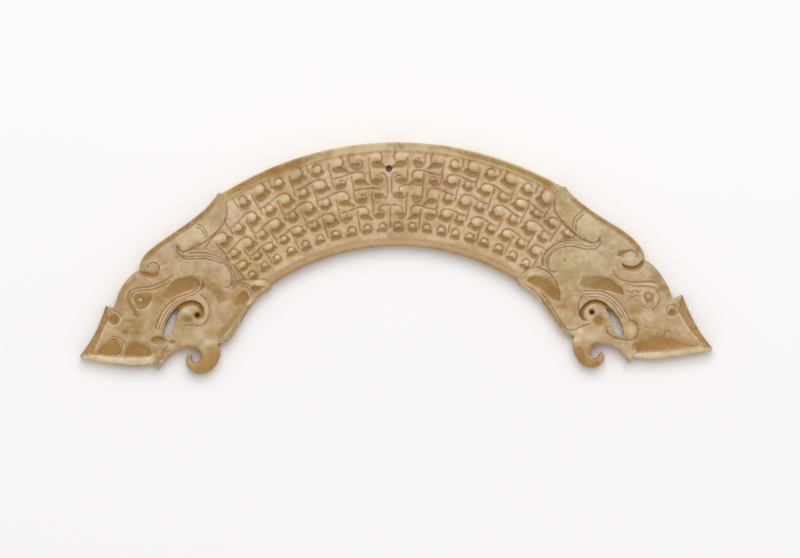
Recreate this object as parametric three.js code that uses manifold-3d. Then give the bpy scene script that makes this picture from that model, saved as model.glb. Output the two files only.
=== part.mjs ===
// An arc-shaped jade pendant with a dragon's head at each end, cut from one plate of stone.
// Millimetres. X runs along the width, Y from the hollow of the arc to its crown, Z out of the face.
// The plate lies on its back, and the origin is under the middle of its box.
import * as THREE from "three";
import { mergeVertices } from "three/addons/utils/BufferGeometryUtils.js";
import Module from "manifold-3d";

// The plate and its arc. Angles are in degrees from the crown, and positive ones lie to the right.
const plateThickness = 5;
const crownRadius = 108.9;
const bandWidth = 34.6;
const wingRise = 0.7;
const wingNotchAngle = 0.5;
const rootAngle = 2;
const arcStep = 3.4;

// The rim round the curl field: a crisp edge that slopes in to the sunken field.
const rimCrest = 0.4;
const rimSlope = 2.5;
const fieldDepth = 0.75;
const fieldReachAngle = 14;

// The curl field: rows of domed curls across the band, in columns on both sides of the axis.
const fieldAxisAngle = -1.75;
const leftPitchAngle = 3.85;
const rightPitchAngle = 3.5;
const columnsEachSide = 11;
const rowShares = [0.86, 0.68, 0.51, 0.35, 0.19];
const bigCurlRadius = 1.7;
const smallCurlRadius = 1.35;
const curlHeight = 0.6;
const curlClearance = 0.15;
const scoopRadius = 1.3;
const scoopDepth = 0.35;
const scoopDrop = 2.1;

// The drilled hole that the cord goes through, near the middle of the crown.
const holeDiameter = 2;
const holeBelowCrown = 8.7;
const holeAngle = -1.65;

// Features that both heads share.
const headStep = 1.9;
const eyeRadius = 1.5;
const eyeSocketWidth = 6.4;
const eyeSocketHeight = 4.6;
const socketDepth = 0.5;
const eyeRise = 0.45;
const cheekHollowRadius = 3.4;
const cheekCurlRadius = 2.1;
const noseHollowRadius = 1.9;
const hollowDepth = 0.7;
const browHollowHeight = 3.6;
const lipHollowHeight = 3.4;
const toothHollowWidth = 5.2;
const toothHollowHeight = 2.4;
const tongueHoleRadius = 0.95;
const tongueFunnelRadius = 2.7;
const tongueFunnelDepth = 1.6;
const tongueBallRadius = 2.2;
const troughDepth = 1.7;
const notchHoleRadius = 0.45;
const snoutBevelWidth = 2.5;
const snoutBevelDepth = 0.8;

// How many flat sides stand for each round form.
const curlSides = 6;
const scoopSides = 6;
const scoopRings = 2;
const roundSides = 12;
const roundRings = 4;

// Cutters run past the faces by this much, so that no two faces meet.
const overrun = 1;

// One head's outline and features, in pixels of the photograph, x to the right and y down.
// They give the shape only: the head's size in millimetres is its length and height.
// A run is a smooth stretch, and two runs meet at a corner.
const leftHead = {
  side: -1,
  wingAngle: -33,
  stepAngle: -34.6,
  length: 46.3,
  height: 60.2,
  runsPixels: [
    [[218.3, 193], [214, 199], [207, 207], [196, 216.5], [182, 226.8], [166, 237.8], [152, 248],
      [144, 256], [140.2, 263.5], [139.2, 270]],
    [[139.2, 270], [132.5, 274], [125, 282], [119.5, 291], [116.2, 301], [113.4, 308.6]],
    [[113.4, 308.6], [105.6, 305.8]],
    [[105.6, 305.8], [101.5, 318], [94.5, 334], [86, 347.5], [79.3, 356.8]],
    [[79.3, 356.8], [84, 359.2], [100, 362.4], [118, 364.8], [133, 366.6], [146, 365.6], [154.5, 364.2]],
    [[154.5, 364.2], [158.3, 370.2]],
    [[158.3, 370.2], [163, 363.5], [168.5, 357], [175.5, 351.5], [184, 348.6], [192, 347.6], [198, 350],
      [201, 355], [199.8, 360], [195.5, 362.6], [191.2, 360.5], [190.4, 356.5]],
    [[190.4, 356.5], [187.8, 356.2]],
    [[187.8, 356.2], [185.9, 361.5], [188.3, 368.4], [194.5, 373], [201, 373.8], [209, 371.6],
      [216, 364.8], [219.6, 356.5], [220.3, 350], [218.9, 345.4]],
    [[218.9, 345.4], [219.5, 343.8]],
    [[219.5, 343.8], [226, 341.8], [232, 336.8], [238, 327.8], [245, 315.2], [252, 304.8],
      [261, 295.4], [270.5, 289.6]],
  ],
  slotPixels: [[163.2, 336.2], [163.4, 331.5], [166.3, 324], [170.3, 316.2], [175, 309.8], [179.6, 306.2],
    [180.4, 308.6], [177.4, 315.5], [174.6, 323.5], [172.6, 330], [171, 334.2], [167, 336.4]],
  troughPixels: [[173, 312], [181, 303.6], [187.5, 300.4], [194.5, 300.8], [200.3, 304], [203.6, 309.6],
    [200.5, 309.2], [196, 306.2], [190, 305.2], [184.5, 306], [180.2, 309.6], [177.4, 315.5]],
  leafPixels: [[224.8, 203], [226.6, 211], [224, 220.5], [217, 230.5], [207.5, 238.8], [191, 249.4]],
  hairPixels: [[191, 249.4], [203, 248.6], [213, 251.5], [222.5, 256.2], [230.5, 263.2], [236, 271],
    [238.8, 279]],
  neckPixels: [[238.8, 279], [246, 279.6], [256, 279.3], [264, 279.6], [270, 283.5], [273.5, 289]],
  beyondPixels: [[280, 300], [240, 390], [60, 390], [60, 180], [225, 180]],
  snoutPixels: [[109, 307], [101.5, 318], [94.5, 334], [86, 347.5], [80.5, 355]],
  eyePixel: [140.5, 300],
  socketPixel: [140.5, 302.5],
  cheekPixel: [150.5, 270],
  cheekCurlPixel: [153, 267.5],
  nosePixel: [114, 318],
  browPixels: [[172, 282.5], [204, 285]],
  lipPixels: [[105, 348], [146, 349]],
  toothPixel: [159, 339.8],
  tongueHolePixel: [196.5, 315.2],
  tongueBallPixel: [187.6, 314.5],
  notchPixel: [219.8, 345],
};

const rightHead = {
  side: 1,
  wingAngle: 30.74,
  stepAngle: 32.5,
  length: 49.3,
  height: 60.3,
  runsPixels: [
    [[565.3, 186.8], [570, 192.5], [578, 200], [591, 209.8], [606, 219.8], [621, 229], [633, 238.3],
      [640.5, 246.8], [644.2, 254], [644.6, 259.8]],
    [[644.6, 259.8], [651, 263.8], [658.5, 271.3], [665, 281], [669.8, 290], [672.6, 298.4]],
    [[672.6, 298.4], [676.5, 297.6], [682.3, 294.6]],
    [[682.3, 294.6], [687, 306.5], [693, 319], [701, 333], [708, 342.5], [713.3, 348.6]],
    [[713.3, 348.6], [709, 351.2], [697, 353.6], [680, 356.4], [663, 359], [650, 359.8], [640, 358.6],
      [633, 356.8]],
    [[633, 356.8], [629.9, 363.6]],
    [[629.9, 363.6], [625.5, 357], [620, 351.2], [611.5, 346.2], [603, 344.2], [595.5, 345],
      [591.2, 349.2], [590.6, 354.5], [594, 358.2], [598.3, 357], [600, 353.6]],
    [[600, 353.6], [602.4, 351.6]],
    [[602.4, 351.6], [604.6, 357.5], [602.6, 363], [597, 366.9], [590.5, 367.8], [582.5, 365],
      [576.8, 358], [573.6, 350], [572.3, 343], [573.2, 338.6]],
    [[573.2, 338.6], [571.8, 336]],
    [[571.8, 336], [566.5, 334.8], [560.5, 329.4], [553.5, 319.2], [546.5, 309.4], [538, 299],
      [527, 289.4], [518.2, 284.8]],
  ],
  slotPixels: [[623.4, 334.8], [623.4, 330], [621.3, 324.3], [617.8, 317.8], [612.3, 311.2], [606.8, 306.6],
    [603, 306.4], [606.2, 309.8], [609.6, 316.7], [612, 322.5], [613.8, 328.3], [615.6, 333], [620, 335.6]],
  troughPixels: [[614, 311], [606.5, 303.2], [600, 300], [593, 299.7], [587.4, 302.6], [583.8, 307.6],
    [586.8, 308.2], [590, 305], [596, 303.9], [601.5, 306], [606, 310.5], [609.5, 317]],
  leafPixels: [[556, 197.5], [554.8, 207], [558, 214.5], [566, 223.5], [574, 231.4], [584.5, 240.4]],
  hairPixels: [[584.5, 240.4], [574, 239.2], [563, 240], [553.5, 244.5], [546.5, 251], [543, 259],
    [543.5, 266]],
  neckPixels: [[543.5, 266], [533, 267.8], [526, 270.5], [521.5, 275.5], [517.5, 279.5]],
  beyondPixels: [[510, 290], [560, 390], [735, 390], [735, 175], [555.5, 175]],
  snoutPixels: [[680, 296.5], [687, 306.5], [693, 319], [701, 333], [708, 342.5], [711.5, 346.5]],
  eyePixel: [648.5, 298],
  socketPixel: [648.5, 299.5],
  cheekPixel: [631.5, 259.5],
  cheekCurlPixel: [630, 257.5],
  nosePixel: [671.5, 310.5],
  browPixels: [[580, 283], [622, 290]],
  lipPixels: [[640, 344], [690, 341]],
  toothPixel: [630, 331],
  tongueHolePixel: [592, 311.8],
  tongueBallPixel: [598.2, 319],
  notchPixel: [571.8, 337.3],
};

// The point at a radius and an angle from the crown, with the arc's centre at zero.
function polar(radius, degrees) {
  const angle = THREE.MathUtils.degToRad(degrees);
  return new THREE.Vector2(radius * Math.sin(angle), radius * Math.cos(angle));
}

// Turns a pixel of one head into millimetres. The tip of its wing is seated on the arc, and its outline
// reaches its length from there to the snout, and its height down to the chin.
function headPlace(head, pixel) {
  const tip = polar(crownRadius + wingRise, head.wingAngle);
  const outline = head.runsPixels.flat();
  const [wingX, wingY] = outline[0];
  const pixelsAcross = Math.max(...outline.map(([x]) => Math.abs(x - wingX)));
  const pixelsDown = Math.max(...outline.map(([, y]) => y - wingY));
  return new THREE.Vector2(
    tip.x + (head.length * (pixel[0] - wingX)) / pixelsAcross,
    tip.y - (head.height * (pixel[1] - wingY)) / pixelsDown,
  );
}

// Even points along a smooth stretch, without the last one, which starts the next stretch.
function smoothRun(points, step) {
  if (points.length === 2) return [points[0]];
  const curve = new THREE.SplineCurve(points);
  const count = Math.max(2, Math.ceil(curve.getLength() / step));
  return curve.getSpacedPoints(count).slice(0, -1);
}

// Even points along an arc. Their count depends on the angles alone, so the copies of an arc at
// different radii match point for point.
function arcPoints(radius, fromDegrees, toDegrees) {
  const count = Math.ceil((crownRadius * THREE.MathUtils.degToRad(toDegrees - fromDegrees)) / arcStep);
  return Array.from({ length: count + 1 }, (_, i) =>
    polar(radius, fromDegrees + ((toDegrees - fromDegrees) * i) / count));
}

const innerRadius = () => crownRadius - bandWidth;

// The band's two edges between the heads. The outer one ends just short of the tips of the wings, and
// the inner one at the small step where each neck begins.
function bandOutline() {
  return [
    ...arcPoints(crownRadius, wingEndAngle(leftHead), wingEndAngle(rightHead)),
    ...arcPoints(innerRadius(), leftHead.stepAngle, rightHead.stepAngle).reverse(),
  ];
}

const wingEndAngle = (head) => head.wingAngle - head.side * wingNotchAngle;

function runOutline(head, runs) {
  return runs.flatMap((run) => smoothRun(run.map((p) => headPlace(head, p)), headStep));
}

// A head's edge from the tip of its wing round to its neck, closed straight across.
const headOutline = (head) =>
  [...runOutline(head, head.runsPixels), headPlace(head, head.runsPixels.at(-1).at(-1))];

// The root that joins a head to the band: triangles from a point inside the band to the tip of the wing,
// the end of the neck and the two corners where the band's edges end.
function rootOutlines(head) {
  const inside = polar(crownRadius - bandWidth / 2, wingEndAngle(head) - head.side * rootAngle);
  const corners = [
    polar(crownRadius, wingEndAngle(head)),
    headPlace(head, head.runsPixels[0][0]),
    headPlace(head, head.runsPixels.at(-1).at(-1)),
    polar(innerRadius(), head.stepAngle),
  ];
  return corners.slice(1).map((corner, i) => [inside, corners[i], corner]);
}

// The land of a head, which ends the curl field: it is bounded by the leaf, the hair and the neck.
function landOutline(head) {
  return [
    ...runOutline(head, [head.leafPixels, head.hairPixels, head.neckPixels]),
    ...[head.neckPixels.at(-1), ...head.beyondPixels].map((p) => headPlace(head, p)),
  ];
}

const wasm = await Module();
wasm.setup();

// A closed geometry as a solid that can be cut and joined.
function solid(geometry) {
  const bare = new THREE.BufferGeometry();
  bare.setAttribute("position", geometry.getAttribute("position"));
  if (geometry.index) bare.setIndex(geometry.index);
  const merged = mergeVertices(bare);
  return new wasm.Manifold(new wasm.Mesh({
    numProp: 3,
    vertProperties: new Float32Array(merged.getAttribute("position").array),
    triVerts: new Uint32Array(merged.index.array),
  }));
}

// A solid between two closed outlines with the same number of points, one above the other.
function loft(lowPoints, highPoints, lowZ, highZ) {
  const count = lowPoints.length;
  const position = [
    ...lowPoints.flatMap((p) => [p.x, p.y, lowZ]),
    ...highPoints.flatMap((p) => [p.x, p.y, highZ]),
  ];
  const clockwise = THREE.ShapeUtils.isClockWise(lowPoints);
  const index = [];
  const face = (a, b, c) => index.push(...(clockwise ? [a, c, b] : [a, b, c]));
  THREE.ShapeUtils.triangulateShape(lowPoints, []).forEach(([a, b, c]) => {
    index.push(a, c, b);
  });
  THREE.ShapeUtils.triangulateShape(highPoints, []).forEach(([a, b, c]) => {
    index.push(count + a, count + b, count + c);
  });
  for (let i = 0; i < count; i += 1) {
    const next = (i + 1) % count;
    face(i, next, count + i);
    face(next, count + next, count + i);
  }
  const geometry = new THREE.BufferGeometry();
  geometry.setAttribute("position", new THREE.Float32BufferAttribute(position, 3));
  geometry.setIndex(index);
  return solid(geometry);
}

const prism = (points, lowZ, highZ) => loft(points, points, lowZ, highZ);

// A bar through four-cornered sections, one after the other. Turned is true where they run clockwise.
function rail(sections, turned) {
  const corners = sections[0].length;
  const index = [];
  const face = (a, b, c) => index.push(...(turned ? [a, c, b] : [a, b, c]));
  const cap = (first, flip) => {
    for (let i = 1; i + 1 < corners; i += 1) {
      if (flip) face(first, first + i + 1, first + i);
      else face(first, first + i, first + i + 1);
    }
  };
  for (let row = 0; row + 1 < sections.length; row += 1) {
    for (let i = 0; i < corners; i += 1) {
      const a = row * corners + i;
      const b = row * corners + ((i + 1) % corners);
      face(a, a + corners, b);
      face(b, a + corners, b + corners);
    }
  }
  cap(0, false);
  cap((sections.length - 1) * corners, true);
  const geometry = new THREE.BufferGeometry();
  geometry.setAttribute("position", new THREE.Float32BufferAttribute(sections.flat(2), 3));
  geometry.setIndex(index);
  return solid(geometry);
}

// A squashed ball, which stands as a dome or cuts a scoop.
function squashedBall(place, radiusX, radiusY, height, z, sides, rings = roundRings) {
  const ball = new THREE.SphereGeometry(1, sides, rings);
  ball.rotateX(Math.PI / 2);
  ball.scale(radiusX, radiusY, height);
  ball.translate(place.x, place.y, z);
  return solid(ball);
}

function upright(radiusTop, radiusBottom, height, place, middleZ, sides) {
  const drum = new THREE.CylinderGeometry(radiusTop, radiusBottom, height, sides);
  drum.rotateX(Math.PI / 2);
  drum.translate(place.x, place.y, middleZ);
  return solid(drum);
}

// The band drawn in from both of its edges, and run on into the heads.
function insetOutline(inset) {
  const from = leftHead.wingAngle - fieldReachAngle;
  const to = rightHead.wingAngle + fieldReachAngle;
  return [
    ...arcPoints(crownRadius - inset, from, to),
    ...arcPoints(innerRadius() + inset, from, to).reverse(),
  ];
}

// The sunken field of one face: the band within its sloping rim, up to the land of each head.
function fieldCut(faceZ, up) {
  const crest = insetOutline(rimCrest);
  const floor = insetOutline(rimCrest + rimSlope);
  const floorZ = faceZ - up * fieldDepth;
  const beyondZ = faceZ + up * overrun;
  const slope = up > 0 ? loft(floor, crest, floorZ, faceZ) : loft(crest, floor, faceZ, floorZ);
  const above = prism(crest, Math.min(faceZ, beyondZ), Math.max(faceZ, beyondZ));
  return slope.add(above).subtract(landSolid());
}

const landSolid = () =>
  wasm.Manifold.union([leftHead, rightHead].map((head) =>
    prism(landOutline(head), -2 * overrun, plateThickness + 2 * overrun)));

// True where a disc round a point lies outside an outline and clear of its edge.
function discOutside(place, radius, outline) {
  let inside = false;
  for (let i = 0, j = outline.length - 1; i < outline.length; j = i, i += 1) {
    const a = outline[i];
    const b = outline[j];
    const along = new THREE.Vector2().subVectors(b, a);
    const toPlace = new THREE.Vector2().subVectors(place, a);
    const share = THREE.MathUtils.clamp(toPlace.dot(along) / along.lengthSq(), 0, 1);
    if (toPlace.distanceTo(along.multiplyScalar(share)) < radius) return false;
    const crosses = a.y > place.y !== b.y > place.y;
    if (crosses && place.x < ((b.x - a.x) * (place.y - a.y)) / (b.y - a.y) + a.x) inside = !inside;
  }
  return !inside;
}

// True where a curl of this radius stands wholly on the floor of the field.
function standsInField(place, radius) {
  const room = radius + curlClearance;
  const rim = rimCrest + rimSlope;
  const fromCentre = place.length();
  const clearOfRims = fromCentre + room < crownRadius - rim && fromCentre - room > innerRadius() + rim;
  const hole = polar(crownRadius - holeBelowCrown, holeAngle);
  const clearOfHole = place.distanceTo(hole) > room + holeDiameter / 2;
  const clearOfLand = [leftHead, rightHead].every((head) => discOutside(place, room, landOutline(head)));
  return clearOfRims && clearOfHole && clearOfLand;
}

// Where the curls of the field stand, with their size: big and small ones alternate like a chequerboard.
function curlPlaces() {
  const places = [];
  for (const [side, pitch] of [[-1, leftPitchAngle], [1, rightPitchAngle]]) {
    for (let column = 0; column < columnsEachSide; column += 1) {
      rowShares.forEach((rowShare, row) => {
        const radius = (row + column) % 2 === 0 ? bigCurlRadius : smallCurlRadius;
        const angle = fieldAxisAngle + side * (column + 1 / 2) * pitch;
        const place = polar(innerRadius() + rowShare * bandWidth, angle);
        if (standsInField(place, radius)) places.push({ place, radius });
      });
    }
  }
  return places;
}

const towardsCentre = (place, distance) => place.clone().setLength(place.length() - distance);

// The relief of one face. Up is 1 on the front face and -1 on the back face.
function carveFace(up) {
  const faceZ = up > 0 ? plateThickness : 0;
  const floorZ = faceZ - up * fieldDepth;
  const cuts = [fieldCut(faceZ, up)];
  const joins = [];

  for (const { place, radius } of curlPlaces()) {
    joins.push(squashedBall(place, radius, radius, curlHeight, floorZ, curlSides));
    if (up < 0) continue;
    const scoopPlace = towardsCentre(place, scoopDrop);
    cuts.push(squashedBall(scoopPlace, scoopRadius, scoopRadius, scoopDepth, floorZ, scoopSides, scoopRings));
  }

  for (const head of [leftHead, rightHead]) {
    const at = (pixel) => headPlace(head, pixel);
    const scoop = (place, width, height, depth) =>
      squashedBall(place, width / 2, height / 2, depth, faceZ, roundSides);
    cuts.push(scoop(at(head.socketPixel), eyeSocketWidth, eyeSocketHeight, socketDepth));
    cuts.push(scoop(at(head.cheekPixel), 2 * cheekHollowRadius, 2 * cheekHollowRadius, hollowDepth));
    cuts.push(scoop(at(head.nosePixel), 2 * noseHollowRadius, 2 * noseHollowRadius, hollowDepth));
    cuts.push(scoop(at(head.toothPixel), toothHollowWidth, toothHollowHeight, hollowDepth));
    for (const [ends, height] of [[head.browPixels, browHollowHeight], [head.lipPixels, lipHollowHeight]]) {
      const [from, to] = ends.map(at);
      const middle = from.clone().lerp(to, 1 / 2);
      cuts.push(scoop(middle, from.distanceTo(to), height, hollowDepth));
    }
    const trough = smoothRun([...head.troughPixels, head.troughPixels[0]].map(at), headStep);
    const [bottomZ, openZ] = [faceZ - up * troughDepth, faceZ + up * overrun];
    cuts.push(prism(trough, Math.min(bottomZ, openZ), Math.max(bottomZ, openZ)));
    const holePlace = at(head.tongueHolePixel);
    const [near, far] = [tongueFunnelRadius, tongueHoleRadius];
    cuts.push(upright(up > 0 ? near : far, up > 0 ? far : near, tongueFunnelDepth, holePlace,
      faceZ - (up * tongueFunnelDepth) / 2, roundSides));
    const edge = smoothRun(head.snoutPixels.map(at), headStep);
    cuts.push(snoutBevel(edge, head.side, faceZ, up));

    joins.push(squashedBall(at(head.eyePixel), eyeRadius, eyeRadius, eyeRise,
      faceZ - up * socketDepth, roundSides));
    joins.push(squashedBall(at(head.cheekCurlPixel), cheekCurlRadius, cheekCurlRadius, hollowDepth,
      faceZ - up * hollowDepth, roundSides));
  }
  return { cuts, joins };
}

// A wedge along the front of the snout, which slopes its edge away from the face.
function snoutBevel(edge, side, faceZ, up) {
  const slope = snoutBevelDepth * (1 + overrun / snoutBevelWidth);
  const sections = edge.map((p) => {
    const innerX = p.x - side * snoutBevelWidth;
    const outerX = p.x + side * overrun;
    return [
      [innerX, p.y, faceZ],
      [outerX, p.y, faceZ - up * slope],
      [outerX, p.y, faceZ + up * overrun],
      [innerX, p.y, faceZ + up * overrun],
    ];
  });
  return rail(sections, side * up > 0);
}

function throughCuts() {
  const middleZ = plateThickness / 2;
  const tall = plateThickness + 2 * overrun;
  const hole = polar(crownRadius - holeBelowCrown, holeAngle);
  const cuts = [upright(holeDiameter / 2, holeDiameter / 2, tall, hole, middleZ, roundSides)];
  for (const head of [leftHead, rightHead]) {
    const slot = smoothRun([...head.slotPixels, head.slotPixels[0]].map((p) => headPlace(head, p)), headStep);
    cuts.push(prism(slot, -overrun, plateThickness + overrun));
    cuts.push(upright(tongueHoleRadius, tongueHoleRadius, tall, headPlace(head, head.tongueHolePixel),
      middleZ, roundSides));
    cuts.push(upright(notchHoleRadius, notchHoleRadius, tall, headPlace(head, head.notchPixel),
      middleZ, scoopSides));
  }
  return cuts;
}

// The bead in the curl of each mouth, which stands again where the funnel has cut the plate away.
function mouthBeads() {
  return [leftHead, rightHead].map((head) =>
    upright(tongueBallRadius, tongueBallRadius, plateThickness - 2 * fieldDepth,
      headPlace(head, head.tongueBallPixel), plateThickness / 2, roundSides));
}

// The band between the two wings, and the two heads that grow out of it.
function plateSolid() {
  const outlines = [bandOutline(), ...[leftHead, rightHead].flatMap((head) =>
    [headOutline(head), ...rootOutlines(head)])];
  return wasm.Manifold.union(outlines.map((outline) => prism(outline, 0, plateThickness)));
}

function pendantSolid() {
  const plate = plateSolid();
  const faces = [1, -1].map(carveFace);
  const cuts = wasm.Manifold.union([...faces.flatMap((face) => face.cuts), ...throughCuts()]);
  const joins = wasm.Manifold.union([...faces.flatMap((face) => face.joins), ...mouthBeads()]);
  return plate.subtract(cuts).add(joins);
}

function pendantMesh() {
  const { vertProperties, triVerts } = pendantSolid().getMesh();
  const geometry = new THREE.BufferGeometry();
  geometry.setAttribute("position", new THREE.BufferAttribute(vertProperties, 3));
  geometry.setIndex(new THREE.BufferAttribute(triVerts, 1));
  geometry.computeVertexNormals();
  geometry.computeBoundingBox();
  const jade = new THREE.MeshStandardMaterial({ color: 0xcbb99b, roughness: 0.35, metalness: 0 });
  const mesh = new THREE.Mesh(geometry, jade);
  mesh.name = "jade_pendant";
  const { min, max } = geometry.boundingBox;
  mesh.position.set(-(min.x + max.x) / 2, -(min.y + max.y) / 2, 0);
  return mesh;
}

const pendant = new THREE.Group();
pendant.name = "dragon_pendant";
pendant.add(pendantMesh());

export default pendant;
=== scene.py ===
"""The carved surface of an arc-shaped jade pendant with a dragon's head at each end.

The carving is drawn in pixels of the photograph, x to the right and y down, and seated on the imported
part's box. Lengths are in pixels unless their comment says otherwise, heights and depths are in
millimetres from the plate's face, and both faces are carved alike. A value named a curve is the power
that shapes a rise.
"""

import math

import bpy
import numpy as np
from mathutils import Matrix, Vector
from mathutils.geometry import delaunay_2d_cdt


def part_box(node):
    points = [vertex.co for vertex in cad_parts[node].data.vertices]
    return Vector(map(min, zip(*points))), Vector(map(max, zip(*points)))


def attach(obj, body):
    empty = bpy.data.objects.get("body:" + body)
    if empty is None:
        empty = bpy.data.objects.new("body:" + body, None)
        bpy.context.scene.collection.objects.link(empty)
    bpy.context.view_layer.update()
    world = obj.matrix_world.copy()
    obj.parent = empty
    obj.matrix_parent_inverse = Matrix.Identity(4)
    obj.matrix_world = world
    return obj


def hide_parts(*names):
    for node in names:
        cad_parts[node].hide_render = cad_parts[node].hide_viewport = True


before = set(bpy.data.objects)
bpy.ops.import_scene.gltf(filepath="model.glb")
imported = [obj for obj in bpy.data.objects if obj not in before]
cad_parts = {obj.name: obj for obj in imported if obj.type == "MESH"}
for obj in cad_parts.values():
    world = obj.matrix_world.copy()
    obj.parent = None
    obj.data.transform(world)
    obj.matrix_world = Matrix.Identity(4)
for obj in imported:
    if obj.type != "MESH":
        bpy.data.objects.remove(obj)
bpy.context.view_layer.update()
PLATE_LOW, PLATE_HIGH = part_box("jade_pendant")

# The part's corners in the photograph, which seat the drawing on the box.
LEFT_PIXEL, RIGHT_PIXEL = 79.3, 713.3
TOP_PIXEL, BOTTOM_PIXEL = 142.3, 373.8
MILLIMETRES = 1000

# The band about the arc's centre, with the number of points along each of its two arcs. Angles are in
# degrees from the crown. Each rim has a flat crest, and a slope that curves down to the field.
ARC_CENTRE = np.array((397.5, 469.0))
OUTER, INNER = 326.7, 222.9
OUTER_ENDS, OUTER_POINTS = (-32.5, 30.24), 377
INNER_ENDS, INNER_POINTS = (-34.6, 32.5), 281
RIM_CREST, RIM_SLOPE, RIM_CURVE = 1.2, 7.5, 0.8
FIELD_DEPTH = 0.75
CORD_HOLE = ((388.8, 168.6), 3.0)
TONGUE_HOLE_RADIUS = 1.8

# How wide the colours of the two rims are, and how softly they end.
OUTER_TINT, OUTER_TINT_FADE = 9, 2
INNER_TINT, INNER_TINT_FADE = 10, 3
# Brown lines along the rims: (radius, half width, strength, the angles they run between). The line at
# radius 225 is painted shade along the inner edge's bevel; the shorter ones are stains.
RIM_STAIN_AND_SHADE_LINES = ((317.3, 1.6, 0.55, -40, 40), (225, 1.5, 0.9, -40, 40), (322.8, 3.2, 0.85, -34, -13),
              (322.6, 2.6, 0.8, 9, 31), (229.5, 2.2, 0.6, -35, 33))
RIM_LINE_REACH, RIM_LINE_END = 1.5, 4

# Steps between the points of the surface: the front is finer than the back.
OUTLINE_STEP = 0.95
FRONT_STEPS = {"stroke": 0.85, "field": 1.22, "plain": 1.9}
BACK_STEPS = {"stroke": 1.4, "field": 1.95, "plain": 3}
CURVE_SAMPLES, RING_SAMPLES = 12, 40
STROKE_STEP, HOLLOW_STEP, HEAD_STEP, COARSE_STEP = 0.5, 0.7, 1, 2
# The room that each sort of point has to itself, as a share of its step, or of the edge's rounding.
ROOM = {"edge": 0.3, "line": 0.55, "pit": 0.5, "side": 0.4, "ring": 0.6, "land": 0.5, "hollow": 0.6,
        "field": 0.62, "plain": 0.72}
# Where points stand beside the edges, down the pits and round the curls' heads, as shares.
EDGE_SHARES, PIT_SHARES, RING_SHARES = (0.3, 1), (-0.01, 0.05, 0.11), (1, 0.75, 0.4)
# The margin that a new point keeps from the plate's edges, how near to a head's strokes the points are
# fine, and how thin a streak is that gets points of its own.
PLATE_MARGIN, FINE_REACH, THIN_STREAK = 0.35, 3.2, 3
# A raster of the plate, on which the points are told apart.
RASTER_MARGIN, CELLS_PER_PIXEL = 6, 4
RASTER_CORNER = np.array((LEFT_PIXEL, TOP_PIXEL)) - RASTER_MARGIN
RASTER_COLUMNS = int((RIGHT_PIXEL - LEFT_PIXEL + 2 * RASTER_MARGIN) * CELLS_PER_PIXEL)
RASTER_ROWS = int((BOTTOM_PIXEL - TOP_PIXEL + 2 * RASTER_MARGIN) * CELLS_PER_PIXEL)
# What the sums need: a length that counts as none, one that counts as far, the decimals that tell two
# points apart, the distance at which the mesh joins them, and how many pairs of a point and a line's
# piece, or how many points of a loop, are worked on at once.
TINY, FAR = 1e-9, 99.0
DECIMALS, JOIN_DISTANCE = 3, 1e-5
PAIRS_AT_ONCE, LOOP_PIECE = 2_000_000, 60


def joined(runs):
    """Runs of points, each begun with the last point of the one before."""
    return [runs[0]] + [before[-1:] + run for before, run in zip(runs, runs[1:])]


# The heads. A run is a smooth stretch of the outline. The next one begins at its end, with a corner.
# The land is a head's raised part: its edge towards the field, closed by a way beyond the head. Snout
# and lip are the ridges from which the snout and the lip fall to the outline.
# A groove or channel is (width, depth, points), and a hollow is (depth, width of its wall, the direction
# of its deep side, points). A dome is (centre, radius, whether its lower side gets painted shade), and a
# funnel is (centre, radius). A streak is (mark, strength, width, points), and a spot is (centre, half
# width, half height, strength).
LEFT = {"side": -1}
LEFT["runs"] = joined([
    [(218.3, 193), (214, 199), (207, 207), (196, 216.5), (182, 226.8), (166, 237.8), (152, 248), (144, 256),
        (140.2, 263.5), (139.2, 270)],
    [(132.5, 274), (125, 282), (119.5, 291), (116.2, 301), (113.4, 308.6)],
    [(105.6, 305.8)],
    [(101.5, 318), (94.5, 334), (86, 347.5), (79.3, 356.8)],
    [(84, 359.2), (100, 362.4), (118, 364.8), (133, 366.6), (146, 365.6), (154.5, 364.2)],
    [(158.3, 370.2)],
    [(163, 363.5), (168.5, 357), (175.5, 351.5), (184, 348.6), (192, 347.6), (198, 350), (201, 355),
        (199.8, 360), (195.5, 362.6), (191.2, 360.5), (191.4, 354.8)],
    [(187.8, 354)],
    [(185.9, 361.5), (188.3, 368.4), (194.5, 373), (201, 373.8), (209, 371.6), (216, 364.8), (219.6, 356.5),
        (220.3, 350), (218.9, 345.4)],
    [(219.5, 343.8)],
    [(226, 341.8), (232, 336.8), (238, 327.8), (245, 315.2), (252, 304.8), (261, 295.4), (270.5, 289.6)],
])
LEFT["slot"] = [(163.2, 336.2), (163.4, 331.5), (166.3, 324), (170.3, 316.2), (174.6, 310.8), (178, 308.8),
    (178.6, 311.2), (177, 316.5), (174.6, 323.5), (172.6, 330), (171, 334.2), (167, 336.4)]
LEFT["channels"] = [
    (6.5, 1.5, [(162, 333.6), (163.7, 327.1), (166.4, 320.5), (170.2, 314), (174.6, 308.3), (179.5, 303.9),
        (185, 301.2), (190.5, 300.1), (196, 300.6), (200.3, 303), (203.4, 306.8), (204.4, 311.8),
        (203.6, 316.4), (201.2, 319.8), (197.8, 321.2)]),
]
LEFT["land"] = joined([
    [(224.8, 203), (226.6, 211), (224, 220.5), (217, 230.5), (207.5, 238.8), (191, 249.4)],
    [(203, 248.6), (213, 251.5), (222.5, 256.2), (230.5, 263.2), (236, 271), (238.8, 279)],
    [(246, 279.6), (256, 279.3), (264, 279.6), (270, 283.5), (273.5, 289)],
])
LEFT["beyond"] = [(280, 300), (240, 390), (60, 390), (60, 180), (225, 180)]
LEFT["snout"] = [(108.6, 320.3), (103.9, 328.7), (99.7, 339.2), (96, 347.6), (93.4, 352.4)]
LEFT["lip"] = [(84.5, 355.8), (93.4, 354.5), (103.4, 355.5), (118, 357), (130.7, 357), (144.4, 357),
    (149.7, 355), (153.9, 350.8)]
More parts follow.
